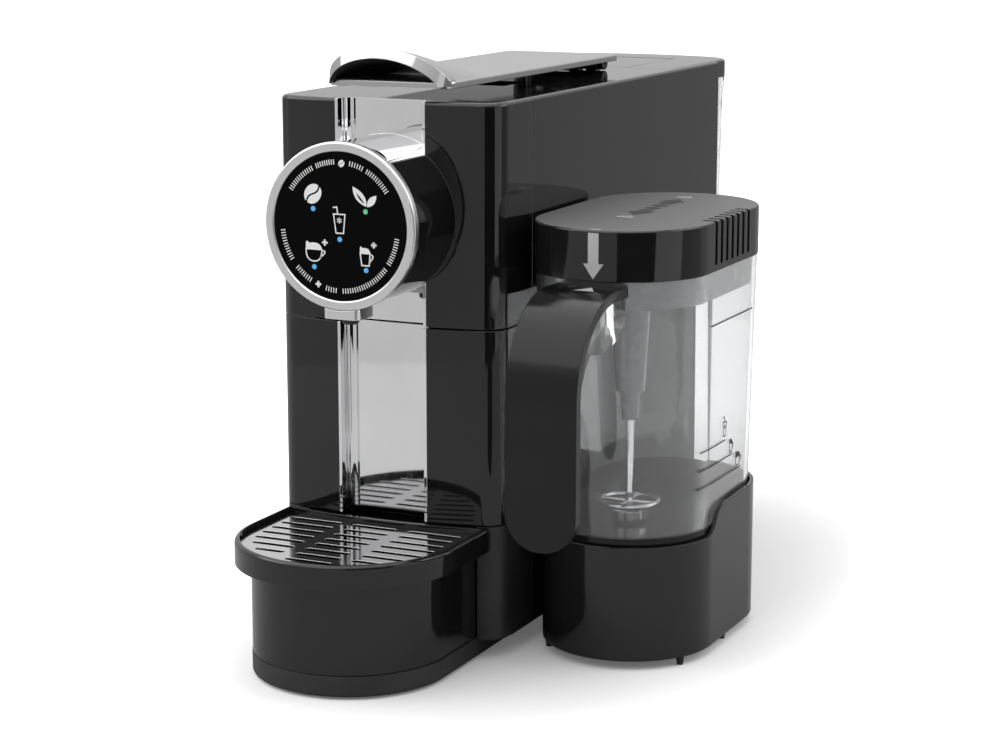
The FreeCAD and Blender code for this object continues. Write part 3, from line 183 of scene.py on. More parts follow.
def noise(tree, scale, detail=3.0):
    """Noise in the object's own coordinates, with scale patches to the metre."""
    coords = tree.nodes.new("ShaderNodeTexCoord")
    texture = tree.nodes.new("ShaderNodeTexNoise")
    texture.inputs["Scale"].default_value = scale
    texture.inputs["Detail"].default_value = detail
    tree.links.new(coords.outputs["Object"], texture.inputs["Vector"])
    return texture.outputs["Fac"]


def spread(tree, value, low, high):
    """Maps noise to a range."""
    mapper = tree.nodes.new("ShaderNodeMapRange")
    mapper.inputs["From Min"].default_value = NOISE_LOW
    mapper.inputs["From Max"].default_value = NOISE_HIGH
    mapper.inputs["To Min"].default_value = low
    mapper.inputs["To Max"].default_value = high
    tree.links.new(value, mapper.inputs["Value"])
    return mapper.outputs["Result"]


def scaled(shade, factor):
    """A colour made lighter or darker, up to white."""
    return tuple(min(1.0, channel * factor) for channel in shade)


def paint(tree, shader, scale, first, second):
    """Base colour that drifts between two shades."""
    ramp = tree.nodes.new("ShaderNodeValToRGB")
    ramp.color_ramp.elements[0].position = NOISE_LOW
    ramp.color_ramp.elements[0].color = (*first, 1.0)
    ramp.color_ramp.elements[1].position = NOISE_HIGH
    ramp.color_ramp.elements[1].color = (*second, 1.0)
    tree.links.new(noise(tree, scale), ramp.inputs["Fac"])
    tree.links.new(ramp.outputs["Color"], shader.inputs["Base Color"])


def polish(tree, shader, scale, low, high):
    """Roughness that drifts between two values."""
    tree.links.new(spread(tree, noise(tree, scale), low, high), shader.inputs["Roughness"])


def soft_edges(tree, shader, radius, relief=None, strength=0.0):
    """Rounds sharp edges in the shading, with an optional fine relief on top."""
    bevel = tree.nodes.new("ShaderNodeBevel")
    bevel.samples = 6
    bevel.inputs["Radius"].default_value = radius
    normal = bevel.outputs["Normal"]
    if relief is not None:
        bump = tree.nodes.new("ShaderNodeBump")
        bump.inputs["Strength"].default_value = strength
        bump.inputs["Distance"].default_value = RELIEF_DEPTH
        tree.links.new(relief, bump.inputs["Height"])
        tree.links.new(normal, bump.inputs["Normal"])
        normal = bump.outputs["Normal"]
    tree.links.new(normal, shader.inputs["Normal"])


def gloss_black(name, shade, roughness, shine=0.5, uneven=0.3):
    """Piano-black moulded plastic: deep colour, faint orange peel and uneven polish."""
    material, tree, shader = new_material(name)
    paint(tree, shader, 35.0, shade, scaled(shade, 1 + uneven))
    polish(tree, shader, 220.0, roughness * (1 - uneven), roughness * (1 + uneven))
    soft_edges(tree, shader, 0.0006, noise(tree, 90.0, 1.0), 0.02 * uneven)
    shader.inputs["IOR"].default_value = 1.5
    shader.inputs["Specular IOR Level"].default_value = shine
    return material


def grained_black(name, shade, roughness):
    """Matt moulded plastic with a fine spark-eroded grain."""
    material, tree, shader = new_material(name)
    paint(tree, shader, 60.0, shade, scaled(shade, 1.5))
    polish(tree, shader, 900.0, roughness * 0.85, roughness * 1.1)
    soft_edges(tree, shader, 0.0005, noise(tree, 2200.0, 2.0), 0.25)
    return material


def metal(name, shade, roughness, edge=0.0004, uneven=0.25, relief=0.0):
    """Bare or plated metal, whose grain shows in its polish and, with a relief, in its surface."""
    material, tree, shader = new_material(name)
    paint(tree, shader, 40.0, scaled(shade, 0.94), shade)
    grain = noise(tree, 400.0, 4.0)
    rough = spread(tree, grain, roughness * (1 - uneven), roughness * (1 + uneven))
    tree.links.new(rough, shader.inputs["Roughness"])
    soft_edges(tree, shader, edge, grain, relief)
    shader.inputs["Metallic"].default_value = 1.0
    return material


def clear(name, shade, roughness):
    """Clear moulded plastic with a faint haze, and a slightly uneven tint and polish."""
    material, tree, shader = new_material(name)
    paint(tree, shader, 18.0, shade, scaled(shade, 1.03))
    polish(tree, shader, 70.0, roughness, roughness * 2)
    shader.inputs["Transmission Weight"].default_value = 0.965
    shader.inputs["IOR"].default_value = 1.49
    return material


def smoky(name, shade):
    """Dense grey plastic with a soft sheen."""
    material, tree, shader = new_material(name)
    paint(tree, shader, 30.0, shade, scaled(shade, 1.1))
    polish(tree, shader, 120.0, 0.2, 0.3)
    soft_edges(tree, shader, 0.0004)
    return material


def rubber(name, shade):
    """Dull rubber with a fine grain."""
    material, tree, shader = new_material(name)
    paint(tree, shader, 120.0, shade, scaled(shade, 1.4))
    polish(tree, shader, 600.0, 0.6, 0.8)
    soft_edges(tree, shader, 0.0004, noise(tree, 1500.0), 0.2)
    return material


def circuit_board(name):
    """Green solder mask with a pattern of paler tracks."""
    material, tree, shader = new_material(name)
    coords = tree.nodes.new("ShaderNodeTexCoord")
    tracks = tree.nodes.new("ShaderNodeTexBrick")
    tracks.inputs["Scale"].default_value = 260.0
    tracks.inputs["Color1"].default_value = (0.02, 0.13, 0.05, 1.0)
    tracks.inputs["Color2"].default_value = (0.03, 0.17, 0.07, 1.0)
    tracks.inputs["Mortar"].default_value = (0.1, 0.3, 0.13, 1.0)
    tree.links.new(coords.outputs["Object"], tracks.inputs["Vector"])
    tree.links.new(tracks.outputs["Color"], shader.inputs["Base Color"])
    polish(tree, shader, 300.0, 0.3, 0.5)
    return material


def printed(name, shade, roughness=0.45):
    """Screen-printed ink with slightly uneven cover."""
    material, tree, shader = new_material(name)
    paint(tree, shader, 900.0, scaled(shade, 0.88), shade)
    polish(tree, shader, 500.0, roughness, roughness * 1.2)
    return material


def glowing(name, shade, strength):
    """Lit lens with a slightly uneven tint."""
    material, tree, shader = new_material(name)
    paint(tree, shader, 1500.0, scaled(shade, 0.85), shade)
    shader.inputs["Emission Color"].default_value = (*shade, 1.0)
    shader.inputs["Emission Strength"].default_value = strength
    shader.inputs["Roughness"].default_value = 0.25
    return material


# Carried-over solids

def shade_smooth(obj):
    """Smooth shading that keeps the real edges of a solid, and its flat faces flat."""
    for polygon in obj.data.polygons:
        polygon.use_smooth = True
    weld = obj.modifiers.new("weld", "WELD")
    weld.merge_threshold = WELD_DISTANCE
    split = obj.modifiers.new("edges", "EDGE_SPLIT")
    split.split_angle = radians(EDGE_ANGLE)
    flats = obj.modifiers.new("flats", "WEIGHTED_NORMAL")
    flats.keep_sharp = True


def dress(material, *names):
    for name in names:
        obj = nodes[name]
        obj.data.materials.clear()
        obj.data.materials.append(material)


def dress_black_plastic():
    """Returns the material of the body, which other pieces share."""
    body = gloss_black("body_black", (0.006, 0.006, 0.0065), 0.045)
    dress(body, "side_panel_left", "side_panel_right", "front_housing", "top_cover", "bin_front", "tank_lid",
          "tank_flap", "drip_tray")
    dress(gloss_black("dock_black", (0.008, 0.008, 0.0085), 0.07), "dock_shell", "jug_lid")
    dress(gloss_black("handle_black", (0.005, 0.005, 0.0055), 0.15, 0.3), "handle_shell", "jug_base")
    dress(gloss_black("panel_black", (0.0016, 0.0016, 0.0018), 0.12, 0.05), "touch_panel")
    dress(grained_black("inner_black", (0.012, 0.012, 0.012), 0.5), "base_plate", "base_tub", "rear_panel",
          "chassis", "dock_base", "capsule_chute", "capsule_bin", "coffee_outlet", "brew_frame",
          "injection_head", "brew_carriage", "flow_meter", "tank_socket", "lever_crank", "spout_nozzle")
    return body


def dress_metal():
    dress(metal("chrome", (0.82, 0.82, 0.83), 0.04), "channel_upper", "channel_lower")
    dress(metal("hood_chrome", (0.48, 0.48, 0.487), 0.08), "lever_handle")
    dress(metal("satin_silver", (0.74, 0.74, 0.75), 0.3, 0.0005, 0.05), "bezel_ring", "spout_block")
    dress(metal("lever_silver", (0.5, 0.5, 0.505), 0.26, 0.0006, 0.03), "lever_plate")
    dress(metal("polished_steel", (0.66, 0.66, 0.67), 0.1), "drip_grille", "heater_plate", "whisk",
          "lever_pin", "head_screws")
    dress(metal("cast_heater", (0.5, 0.5, 0.5), 0.5, 0.0006, 0.25, 0.3), "heater_block")
    dress(metal("drive_metal", (0.28, 0.29, 0.31), 0.4), "pump", "frother_motor", "drive_rotor")


def dress_rubber_and_boards():
    dress(rubber("dark_rubber", (0.012, 0.012, 0.012)), "rubber_feet", "dock_feet", "brew_gasket",
          "pump_mounts", "tank_valve", "cord_gland")
    dress(rubber("hose_rubber", (0.6, 0.59, 0.55)), "suction_hose", "pressure_hose", "hot_water_hose")
    dress(circuit_board("circuit_board"), "control_board", "main_board")


def dress_clear_plastic():
    plastic = clear("clear_plastic", (0.7, 0.705, 0.71), 0.012)
    dress(plastic, "jug_shell", "handle_core", "tank_shell")
    jug_wall(plastic)
    dress(smoky("smoke_plastic", (0.2, 0.203, 0.207)), "lid_plug", "lid_stem")


def dress_solids():
    body = dress_black_plastic()
    dress_metal()
    dress_rubber_and_boards()
    dress_clear_plastic()
    dress_lenses()
    dress_hood_painted_shade()
    dress_lever_underside_shade(body)
    dress_lid_top()
    for obj in nodes.values():
        shade_smooth(obj)


def dress_lenses():
    """Blue lights, apart from the green one under the leaves."""
    lenses = nodes["indicator_lenses"]
    lenses.data.materials.clear()
    lenses.data.materials.append(glowing("light_blue", (0.09, 0.36, 0.7), 0.3))
    lenses.data.materials.append(glowing("light_green", (0.1, 0.5, 0.2), 0.3))
    for polygon in lenses.data.polygons:
        centre = polygon.center
        if centre.x > point(GREEN_LENS_FROM, 0, 0).x and centre.z > point(0, 0, PANEL_Z).z:
            polygon.material_index = 1


def dress_hood_painted_shade():
    """Painted shade: matt black on the downward faces in the hollow below the lever's chrome hood, where its
    shadow falls.
    """
    hood = nodes["lever_handle"]
    hood.data.materials.append(grained_black("hood_painted_shade", (0.004, 0.004, 0.004), 0.6))
    for polygon in hood.data.polygons:
        if polygon.normal.z < -0.05 and polygon.center.z > HOOD_INSIDE / 1000:
            polygon.material_index = 1


def dress_lever_underside_shade(material):
    """Painted shade: the body's black on the underside of the lever's flat plate, where the gap below it
    lies in shadow.
    """
    plate = nodes["lever_plate"]
    plate.data.materials.append(material)
    # Faces at the plate's bottom take the painted shade.
    for polygon in plate.data.polygons:
        if polygon.center.z < (LEVER_BOTTOM + SLACK) / 1000:
            polygon.material_index = 1


def dress_lid_top():
    """The jug lid's flat top is satin, its sides are polished. The top's paler colour is painted sheen, a
    lit copy of the lid's black.
    """
    lid = nodes["jug_lid"]
    lid.data.materials.append(gloss_black("lid_satin_and_sheen", (0.1, 0.1, 0.101), 0.5, uneven=0.04))
    for polygon in lid.data.polygons:
        if polygon.normal.z > 0.95 and polygon.center.z > (LID_TOP - SLACK) / 1000:
            polygon.material_index = 1


def jug_ring(share, inset):
    """Points round the jug's wall, from its floor at share 0 to its rim at share 1."""
    radius = JUG_BOTTOM_RADIUS + (JUG_TOP_RADIUS - JUG_BOTTOM_RADIUS) * share - inset
    front = JUG_BOTTOM_ARC + (JUG_TOP_ARC - JUG_BOTTOM_ARC) * share
    height = JUG_FLOOR + (JUG_TOP - JUG_FLOOR) * share
    ring = []
    for middle, start in ((JUG_BACK_ARC + share, 0.0), (front, pi)):
        for step in range(JUG_STEPS + 1):
            angle = start + pi * step / JUG_STEPS
            ring.append(point(JUG_X + radius * cos(angle), middle + radius * sin(angle), height))
    return ring


def jug_wall(material):
    """The jug's clear tapered wall on an even grid, so that what is seen through it isn't wavy."""
    mesh = bmesh.new()
    levels = [row / JUG_ROWS for row in range(JUG_ROWS + 1)]
    loop = [(share, 0.0) for share in levels] + [(share, JUG_WALL) for share in reversed(levels)]
    rings = [[mesh.verts.new(place) for place in jug_ring(share, inset)] for share, inset in loop]
    for number, ring in enumerate(rings):
        above = rings[(number + 1) % len(rings)]
        for index in range(len(ring)):
            after = (index + 1) % len(ring)
            face = mesh.faces.new((ring[index], ring[after], above[after], above[index]))
            face.smooth = True
    data = bpy.data.meshes.new("jug_wall")
    mesh.to_mesh(data)
    mesh.free()
    wall = link(bpy.data.objects.new("jug_wall", data), "jug", material)
    split = wall.modifiers.new("edges", "EDGE_SPLIT")
    split.split_angle = radians(EDGE_ANGLE)
    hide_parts("jug_shell")


# Printed marks

def link(obj, body, material):
    bpy.context.scene.collection.objects.link(obj)
    obj.data.materials.append(material)
    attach(obj, body)
    return obj


def flat_mark(name, shapes, strokes, place):
    """Filled shapes and outlined strokes, drawn flat and then laid on a surface.

    place() puts a (right, up) pair and a lift off the surface in the frame.
    """
    mesh = bmesh.new()
    for outline in shapes:
        mesh.faces.new([mesh.verts.new((*pair, 0.0)) for pair in outline])
    for path, width in strokes:
        add_ribbon(mesh, path, width)
    bmesh.ops.triangulate(mesh, faces=mesh.faces)
    long_edges = [edge for edge in mesh.edges if edge.calc_length() > LONGEST_EDGE]
    bmesh.ops.subdivide_edges(mesh, edges=long_edges, cuts=3)
    bmesh.ops.triangulate(mesh, faces=mesh.faces)
    for vertex in mesh.verts:
        vertex.co = place(*vertex.co)
    data = bpy.data.meshes.new(name)
    mesh.to_mesh(data)
    mesh.free()
    return bpy.data.objects.new(name, data)


def add_ribbon(mesh, path, width):
    """A band of even width along a path, with its corners mitred."""
    is_loop = path[0] == path[-1]
    pairs = path[:-1] if is_loop else path
    count = len(pairs)
    half = width / 2
    left, right = [], []
    for index, here in enumerate(pairs):
        before = pairs[index - 1] if is_loop or index else here
        after = pairs[(index + 1) % count] if is_loop or index < count - 1 else here
        across = mitre(before, here, after)
        left.append(mesh.verts.new((here[0] + across[0] * half, here[1] + across[1] * half, STROKE_LIFT)))
        right.append(mesh.verts.new((here[0] - across[0] * half, here[1] - across[1] * half, STROKE_LIFT)))
    for index in range(count if is_loop else count - 1):
        follow = (index + 1) % count
        mesh.faces.new((left[index], left[follow], right[follow], right[index]))


def mitre(before, here, after):
    """Sideways direction at a path's corner, longer where the corner is sharper."""
    first = Vector((here[0] - before[0], here[1] - before[1]))
    second = Vector((after[0] - here[0], after[1] - here[1]))
    first = first.normalized() if first.length else second.normalized()
    second = second.normalized() if second.length else first
    middle = (first + second).normalized()
    stretch = 1 / max(0.5, middle.dot(first))
    return -middle.y * stretch, middle.x * stretch


def ellipse(x, z, wide, high):
    pairs = []
    for step in range(ELLIPSE_STEPS):
        angle = 2 * pi * step / ELLIPSE_STEPS
        pairs.append((x + wide * cos(angle), z + high * sin(angle)))
    return pairs


def bend(start, control, end):
    """Points along a curve that leaves start towards control and comes to end from it."""
    pairs = []
    for step in range(BEND_STEPS + 1):
        share = step / BEND_STEPS
        near, middle, far = (1 - share) ** 2, 2 * share * (1 - share), share ** 2
        pairs.append(tuple(near * a + middle * b + far * c for a, b, c in zip(start, control, end)))
    return pairs


def on_panel(x, z, lift):
    return point(x, PANEL_FACE - PRINT_PROUD - lift, z)


def moved(pairs, x, z, scale=1.0):
    return [(x + right * scale, z + up * scale) for right, up in pairs]


def closed(pairs):
    return pairs + [pairs[0]]


def bean_halves(scale):
    """A coffee bean as two halves with an S-shaped groove between them."""
    half_length, half_width = 5.0, 4.2
    wave, gap = 0.85, 0.42
    turn = radians(48)
    steps = 24
    upper, lower, groove = [], [], []
    for step in range(steps + 1):
        angle = pi * step / steps
        along, out = -half_length * cos(angle), half_width * sin(angle)
        upper.append((along, out))
        lower.append((along, -out))
        groove.append((-half_length + 2 * half_length * step / steps, wave * sin(2 * angle)))
    inner = groove[-3:1:-1]
    top = [pair for pair in upper if pair[1] > gap] + [(x, z + gap) for x, z in inner]
    bottom = [pair for pair in lower if pair[1] < -gap] + [(x, z - gap) for x, z in inner]
    return [
        [((x * cos(turn) - z * sin(turn)) * scale, (x * sin(turn) + z * cos(turn)) * scale) for x, z in half]
        for half in (top, bottom)
    ]


def leaves():
    """A tall leaf, the vein in it and a small leaf."""
    base = (0.9, -4.6)
    tall = bend(base, (-6.2, -2.2), (-6.1, 4.5)) + bend((-6.1, 4.5), (1.9, 1.2), base)[1:-1]
    vein = bend((-4.2, 1.6), (-3.2, -1.6), (0.0, -3.3)) + bend((0.0, -3.3), (-1.2, -1.2), (-4.2, 1.6))[1:-1]
    small = bend((1.3, -4.7), (0.9, 0.0), (6.2, 0.8)) + bend((6.2, 0.8), (6.0, -4.4), (1.3, -4.7))[1:-1]
    return tall, vein, small


def plus(x, z, arm, half):
    """One outline with twelve corners."""
    quarter = [(arm, -half), (arm, half), (half, half)]
    outline = []
    for turn in range(4):
        for right, up in quarter:
            for _ in range(turn):
                right, up = -up, right
            outline.append((x + right, z + up))
    return outline


def tumbler_strokes():
    """Tall glass with a bent straw and a snowflake."""
    glass = closed([(-3.0, 3.6), (3.0, 3.6), (2.1, -5.2), (-1.8, -5.2)])
    strokes = [(glass, STROKE * 1.3), ([(-3.3, 6.6), (-1.3, 6.9), (-0.8, 3.7)], STROKE * 1.4)]
    flake_up, flake_reach = 0.7, 1.4
    for turn in range(3):
        angle = pi / 6 + pi * turn / 3
        right, up = flake_reach * cos(angle), flake_reach * sin(angle)
        strokes.append(([(-right, flake_up - up), (right, flake_up + up)], STROKE * 1.1))
    return strokes


def cup_shapes():
    """Wide cup with a crown of foam and a round ear."""
    bowl = bend((-4.3, 1.2), (-4.6, -4.4), (0.0, -4.4)) + bend((0.0, -4.4), (4.0, -4.4), (4.0, 1.2))[1:]
    foam = [(-4.5, 1.0), (-4.4, 4.3)] + bend((-4.4, 4.3), (-3.5, 5.6), (-2.9, 4.0))
    foam += bend((-2.9, 4.0), (3.3, 5.4), (4.2, 1.0))
    ear = bend((3.9, 0.6), (7.6, 1.0), (3.2, -2.6))
    return [foam], [(closed(bowl), STROKE * 1.4), (ear, STROKE * 1.4)]


def latte_shapes():
    """Tall glass with a handle and a crown of foam."""
    glass = closed([(-2.7, 1.0), (2.5, 1.0), (1.9, -4.7), (-1.9, -4.7)])
    foam = [(-2.9, 0.9), (-2.8, 3.6)] + bend((-2.8, 3.6), (-2.2, 4.8), (-1.6, 3.4))
    foam += bend((-1.6, 3.4), (2.2, 4.2), (2.6, 0.9))
    ear = bend((2.4, 0.5), (5.6, 0.3), (2.2, -2.9))
    return [foam], [(glass, STROKE * 1.4), (ear, STROKE * 1.4)]


def placed(shapes, strokes, x, z):
    """Shapes and strokes moved to an icon's centre."""
    moved_shapes = [moved(outline, x, z) for outline in shapes]
    return moved_shapes, [(moved(path, x, z), width) for path, width in strokes]


def tick_strokes():
    """Rows of fine ticks round the edge of the panel."""
    strokes = []
    inner, outer = TICK_RING - TICK_LENGTH / 2, TICK_RING + TICK_LENGTH / 2
    for first, last in TICK_SPANS:
        count = round((last - first) / TICK_PITCH)
        for number in range(count + 1):
            angle = radians(first + (last - first) * number / count)
            strokes.append(([(inner * cos(angle), PANEL_Z + inner * sin(angle)),
                             (outer * cos(angle), PANEL_Z + outer * sin(angle))], STROKE))
    return strokes


def panel_icons():
    """Plain drawings of drinks on the panel, at their X and height."""
    ink = printed("icon_ink", (0.84, 0.84, 0.84))
    tall_leaf, vein, small_leaf = leaves()
    icons = {
        "icon_bean": placed(bean_halves(1.0), [], -13.8, 229.6),
        "icon_leaves": placed([tall_leaf, small_leaf], [], *LEAVES_PLACE),
        "icon_tumbler": placed([], tumbler_strokes(), 0.0, 217.2),
        "icon_cup": placed(*cup_shapes(), -13.4, 202.6),
        "icon_latte": placed(*latte_shapes(), 13.4, 202.4),
        "icon_plus": ([plus(-7.8, 207.2, 1.5, 0.45), plus(17.8, 207.4, 1.4, 0.45)], []),
        "icon_ticks": ([], tick_strokes()),
        "icon_small_bean": placed(bean_halves(0.36), [], 1.4, PANEL_Z + 29.3),
        "icon_small_plus": ([plus(-11.5, PANEL_Z - 27.5, 1.5, 0.5)], []),
    }
    for name, (shapes, strokes) in icons.items():
        link(flat_mark(name, shapes, strokes, on_panel), "machine", ink)
    groove = flat_mark("icon_leaf_vein", [moved(vein, *LEAVES_PLACE)], [],
                       lambda x, z, lift: on_panel(x, z, lift + 2 * STROKE_LIFT))
    link(groove, "machine", printed("vein_black", (0.004, 0.004, 0.004), 0.2))


def lid_front(x):
    """Y of the jug lid's round front at an X."""
    return LID_ARC - sqrt(LID_RADIUS ** 2 - (x - JUG_X) ** 2)


def on_lid_front(x, z, lift):
    return point(x, lid_front(x) - PRINT_PROUD - lift, z)


def lid_arrow():
    """Arrow from the lid's top down its front, which meets the triangle on the handle."""
    ink = printed("mark_silver", (0.5, 0.5, 0.5), 0.3)
    left, right = ARROW_X - ARROW_SHAFT, ARROW_X + ARROW_SHAFT
    top = LID_TOP - LID_EDGE
    shapes = [
        [(left, top), (left, ARROW_NECK), (right, ARROW_NECK), (right, top)],
        [(ARROW_X - ARROW_HEAD, ARROW_NECK), (ARROW_X, ARROW_TIP), (ARROW_X + ARROW_HEAD, ARROW_NECK)],
    ]
    link(flat_mark("lid_arrow", shapes, [], on_lid_front), "jug_lid", ink)
    front = lid_front(ARROW_X) + LID_EDGE
    back = front + ARROW_STUB
    stub = [(left, front), (right, front), (right, back), (left, back)]
    link(flat_mark("lid_arrow_stub", [stub], [], on_lid_top), "jug_lid", ink)
    triangle = flat_mark("handle_triangle", [HANDLE_MARK], [],
                         lambda x, y, lift: point(x, y, HANDLE_TOP + PRINT_PROUD + lift))
    link(triangle, "jug", ink)


def on_lid_top(x, y, lift):
    return point(x, y, LID_TOP + PRINT_PROUD + lift)


def lid_marks():
    """Dark double arrow along the lid's top with a pale lock mark at each end."""
    dark = printed("mark_dark", (0.012, 0.012, 0.012), 0.5)
    pale = printed("mark_pale", (0.4, 0.4, 0.4), 0.4)
    x = LID_MARK_X
    arrows, dots, locks, bows = [], [], [], []
    for side in (-1, 1):
        head, shaft = side * LID_MARK_HEAD, side * LID_MARK_SHAFT
        tip, neck = LID_MARK_Y + side * LID_MARK_TIP, LID_MARK_Y + side * LID_MARK_NECK
        end = LID_MARK_Y + side * LID_MARK_END
        arrows.append([(x, tip), (x + head, neck), (x - head, neck)])
        arrows.append([(x + shaft, neck), (x + shaft, end), (x - shaft, end), (x - shaft, neck)])
        dots.append(ellipse(x, LID_MARK_Y + side * LID_DOT_AWAY, *LID_DOT))
        y = LID_MARK_Y + side * LOCK_AWAY
        locks.append([(x - 4, y - 3), (x + 4, y - 3), (x + 4, y + 1), (x - 4, y + 1)])
        bows.append((bend((x - 2.6, y + 1), (x, y + 7), (x + 2.6, y + 1)), 1.0))
    link(flat_mark("lid_double_arrow", arrows + dots, [], on_lid_top), "jug_lid", dark)
    link(flat_mark("lid_locks", locks, bows, on_lid_top), "jug_lid", pale)


def on_jug_side(y, z, lift):
    """A place on the jug's tapered right side, which runs on round its front."""
    share = (z - JUG_FLOOR) / (JUG_TOP - JUG_FLOOR)
    wall = JUG_BOTTOM_RADIUS + (JUG_TOP_RADIUS - JUG_BOTTOM_RADIUS) * share
    ahead = max(0.0, JUG_BOTTOM_ARC + (JUG_TOP_ARC - JUG_BOTTOM_ARC) * share - y)
    return point(JUG_X + sqrt(wall ** 2 - ahead ** 2) + PRINT_PROUD + lift, y, z)


def level_marks():
    """Fill lines on the jug's right side, each with a small drawing of the drink it is for."""
    ink = printed("level_ink", (0.03, 0.03, 0.03), 0.5)
    strokes = [([(first, z), (last, z)], FILL_STROKE) for first, last, z in FILL_LINES]
    drinks = [
        ([], tumbler_strokes(), 79.5, 109.6),
        (*latte_shapes(), 89.5, 99.2),
        (*cup_shapes(), 100.5, 90.0),
    ]
    shapes = []
    for drink_shapes, drink_strokes, y, z in drinks:
        shapes += [moved(outline, y, z, DRINK_SCALE) for outline in drink_shapes]
        strokes += [(moved(path, y, z, DRINK_SCALE), width * 1.2) for path, width in drink_strokes]
    link(flat_mark("level_marks", shapes, strokes, on_jug_side), "jug", ink)


# Studio

def camera():
    data = bpy.data.cameras.new("camera")
    data.sensor_width = 36.0
    data.lens = CAMERA_LENS
    data.clip_end = 20.0
    obj = bpy.data.objects.new("camera", data)
    obj.location = point(*CAMERA_PLACE)
    obj.rotation_euler = (radians(CAMERA_TILT), 0.0, radians(CAMERA_TURN))
    bpy.context.scene.collection.objects.link(obj)
    bpy.context.scene.camera = obj


def larger(tree, first, second):
    node = tree.nodes.new("ShaderNodeMath")
    node.operation = "MAXIMUM"
    tree.links.new(first, node.inputs[0])
    tree.links.new(second, node.inputs[1])
    return node.outputs["Value"]


def blend(tree, share, low, high):
    """low where share is 0, high where it is 1."""
    node = tree.nodes.new("ShaderNodeMapRange")
    tree.links.new(share, node.inputs["Value"])
    for name, value in (("To Min", low), ("To Max", high)):
        if isinstance(value, float):
            node.inputs[name].default_value = value
        else:
            tree.links.new(value, node.inputs[name])
    return node.outputs["Result"]


def world():
    """Plain white where it is looked at, brighter upwards in reflections and dimmer as a light."""
    scene_world = bpy.data.worlds.new("studio")
    bpy.context.scene.world = scene_world
    scene_world.use_nodes = True
    tree = scene_world.node_tree
    path = tree.nodes.new("ShaderNodeLightPath")
    seen = larger(tree, path.outputs["Is Camera Ray"], path.outputs["Is Transmission Ray"])
    coords = tree.nodes.new("ShaderNodeTexCoord")
    axes = tree.nodes.new("ShaderNodeSeparateXYZ")
    tree.links.new(coords.outputs["Generated"], axes.inputs["Vector"])
    reflected = blend(tree, axes.outputs["Z"], HORIZON_REFLECTED, ZENITH_REFLECTED)
    unseen = blend(tree, path.outputs["Is Glossy Ray"], SKY_SPREAD, reflected)
    background = tree.nodes["Background"]
    background.inputs["Color"].default_value = (1.0, 1.0, 1.0, 1.0)
    tree.links.new(blend(tree, seen, unseen, SKY_SEEN), background.inputs["Strength"])


def plain_material(name, shade):
    """Matt material without any shine, for the studio."""
    material, tree, shader = new_material(name)
    shader.inputs["Base Color"].default_value = (shade, shade, shade, 1.0)
    shader.inputs["Roughness"].default_value = 1.0
    shader.inputs["Specular IOR Level"].default_value = 0.0
    shader.inputs["Emission Color"].default_value = (1.0, 1.0, 1.0, 1.0)
    return material, tree, shader


def floor_glow(tree):
    """Rises to 1 away from the object, in ellipses round its footprint."""
    place = tree.nodes.new("ShaderNodeNewGeometry")
    shares = tree.nodes.new("ShaderNodeVectorMath")
    shares.operation = "MULTIPLY"
    shares.inputs[1].default_value = (1 / FOOTPRINT[0], 1 / FOOTPRINT[1], 0.0)
    tree.links.new(place.outputs["Position"], shares.inputs[0])
    distance = tree.nodes.new("ShaderNodeVectorMath")
    distance.operation = "LENGTH"
    tree.links.new(shares.outputs["Vector"], distance.inputs[0])
    glow = tree.nodes.new("ShaderNodeMapRange")
    glow.interpolation_type = "SMOOTHSTEP"
    glow.inputs["From Min"].default_value = GLOW_FROM
    glow.inputs["From Max"].default_value = GLOW_TO
    glow.inputs["To Min"].default_value = FLOOR_GLOW
    glow.inputs["To Max"].default_value = 1.0
    tree.links.new(distance.outputs["Value"], glow.inputs["Value"])
    return glow.outputs["Result"]


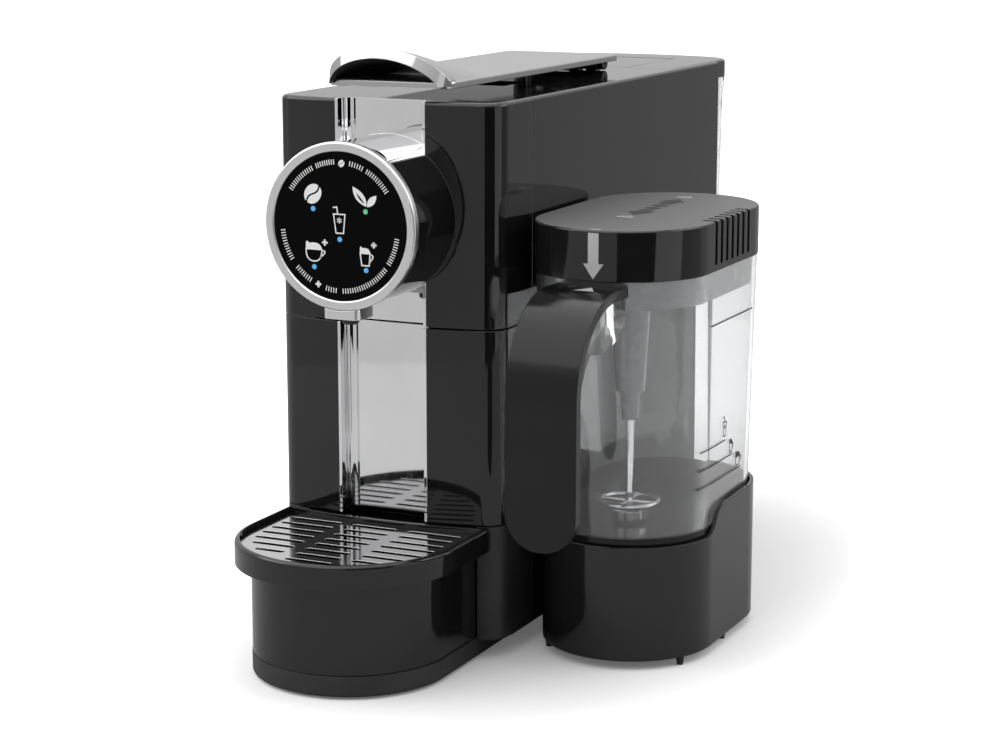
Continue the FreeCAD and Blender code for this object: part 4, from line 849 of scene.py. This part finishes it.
def floor():
    """Grey floor that takes the shadow. Where it is looked at, it is pale, and white further out."""
    mesh = bpy.data.meshes.new("floor")
    corners = [(-FLOOR_REACH, -FLOOR_REACH), (FLOOR_REACH, -FLOOR_REACH),
               (FLOOR_REACH, FLOOR_REACH), (-FLOOR_REACH, FLOOR_REACH)]
    mesh.from_pydata([point(x, y, -FLOOR_DROP) for x, y in corners], [], [(0, 1, 2, 3)])
    material, tree, shader = plain_material("floor_white", FLOOR_SHADE)
    path = tree.nodes.new("ShaderNodeLightPath")
    seen = larger(tree, path.outputs["Is Camera Ray"], path.outputs["Is Transmission Ray"])
    tree.links.new(blend(tree, seen, FLOOR_SHADE, FLOOR_SEEN), shader.inputs["Base Color"])
    tree.links.new(blend(tree, seen, 0.0, floor_glow(tree)), shader.inputs["Emission Strength"])
    mesh.materials.append(material)
    obj = bpy.data.objects.new("floor", mesh)
    bpy.context.scene.collection.objects.link(obj)


def card(name, first, last, brightness):
    """Upright curved card that only reflections see."""
    feet, tops = [], []
    for step in range(CARD_STEPS + 1):
        turn = radians(first + (last - first) * step / CARD_STEPS)
        x, y = FRAME_SHIFT[0] + CARD_DISTANCE * sin(turn), FRAME_SHIFT[1] - CARD_DISTANCE * cos(turn)
        feet.append(point(x, y, 0))
        tops.append(point(x, y, CARD_HEIGHT))
    faces = [(step, step + 1, CARD_STEPS + step + 2, CARD_STEPS + step + 1) for step in range(CARD_STEPS)]
    mesh = bpy.data.meshes.new(name)
    mesh.from_pydata(feet + tops, [], faces)
    material, _, shader = plain_material(name, 0.0)
    shader.inputs["Emission Strength"].default_value = brightness
    mesh.materials.append(material)
    obj = bpy.data.objects.new(name, mesh)
    bpy.context.scene.collection.objects.link(obj)
    obj.visible_camera = False
    obj.visible_diffuse = False
    obj.visible_transmission = False
    obj.visible_shadow = False


def softbox(name, place, size, power):
    """Large soft lamp turned towards the object."""
    data = bpy.data.lights.new(name, "AREA")
    data.shape = "RECTANGLE"
    data.size, data.size_y = size[0] / 1000, size[1] / 1000
    data.energy = power
    obj = bpy.data.objects.new(name, data)
    obj.location = point(*place)
    direction = point(*LIGHT_AIM) - obj.location
    obj.rotation_euler = direction.to_track_quat("-Z", "Y").to_euler()
    bpy.context.scene.collection.objects.link(obj)


dress_solids()
panel_icons()
lid_arrow()
lid_marks()
level_marks()
camera()
world()
floor()
for card_name, (card_first, card_last, card_brightness) in CARDS.items():
    card(card_name, card_first, card_last, card_brightness)
for box_name, (box_place, box_size, box_power) in SOFTBOXES.items():
    softbox(box_name, box_place, box_size, box_power)
bpy.context.scene.view_settings.view_transform = "Standard"
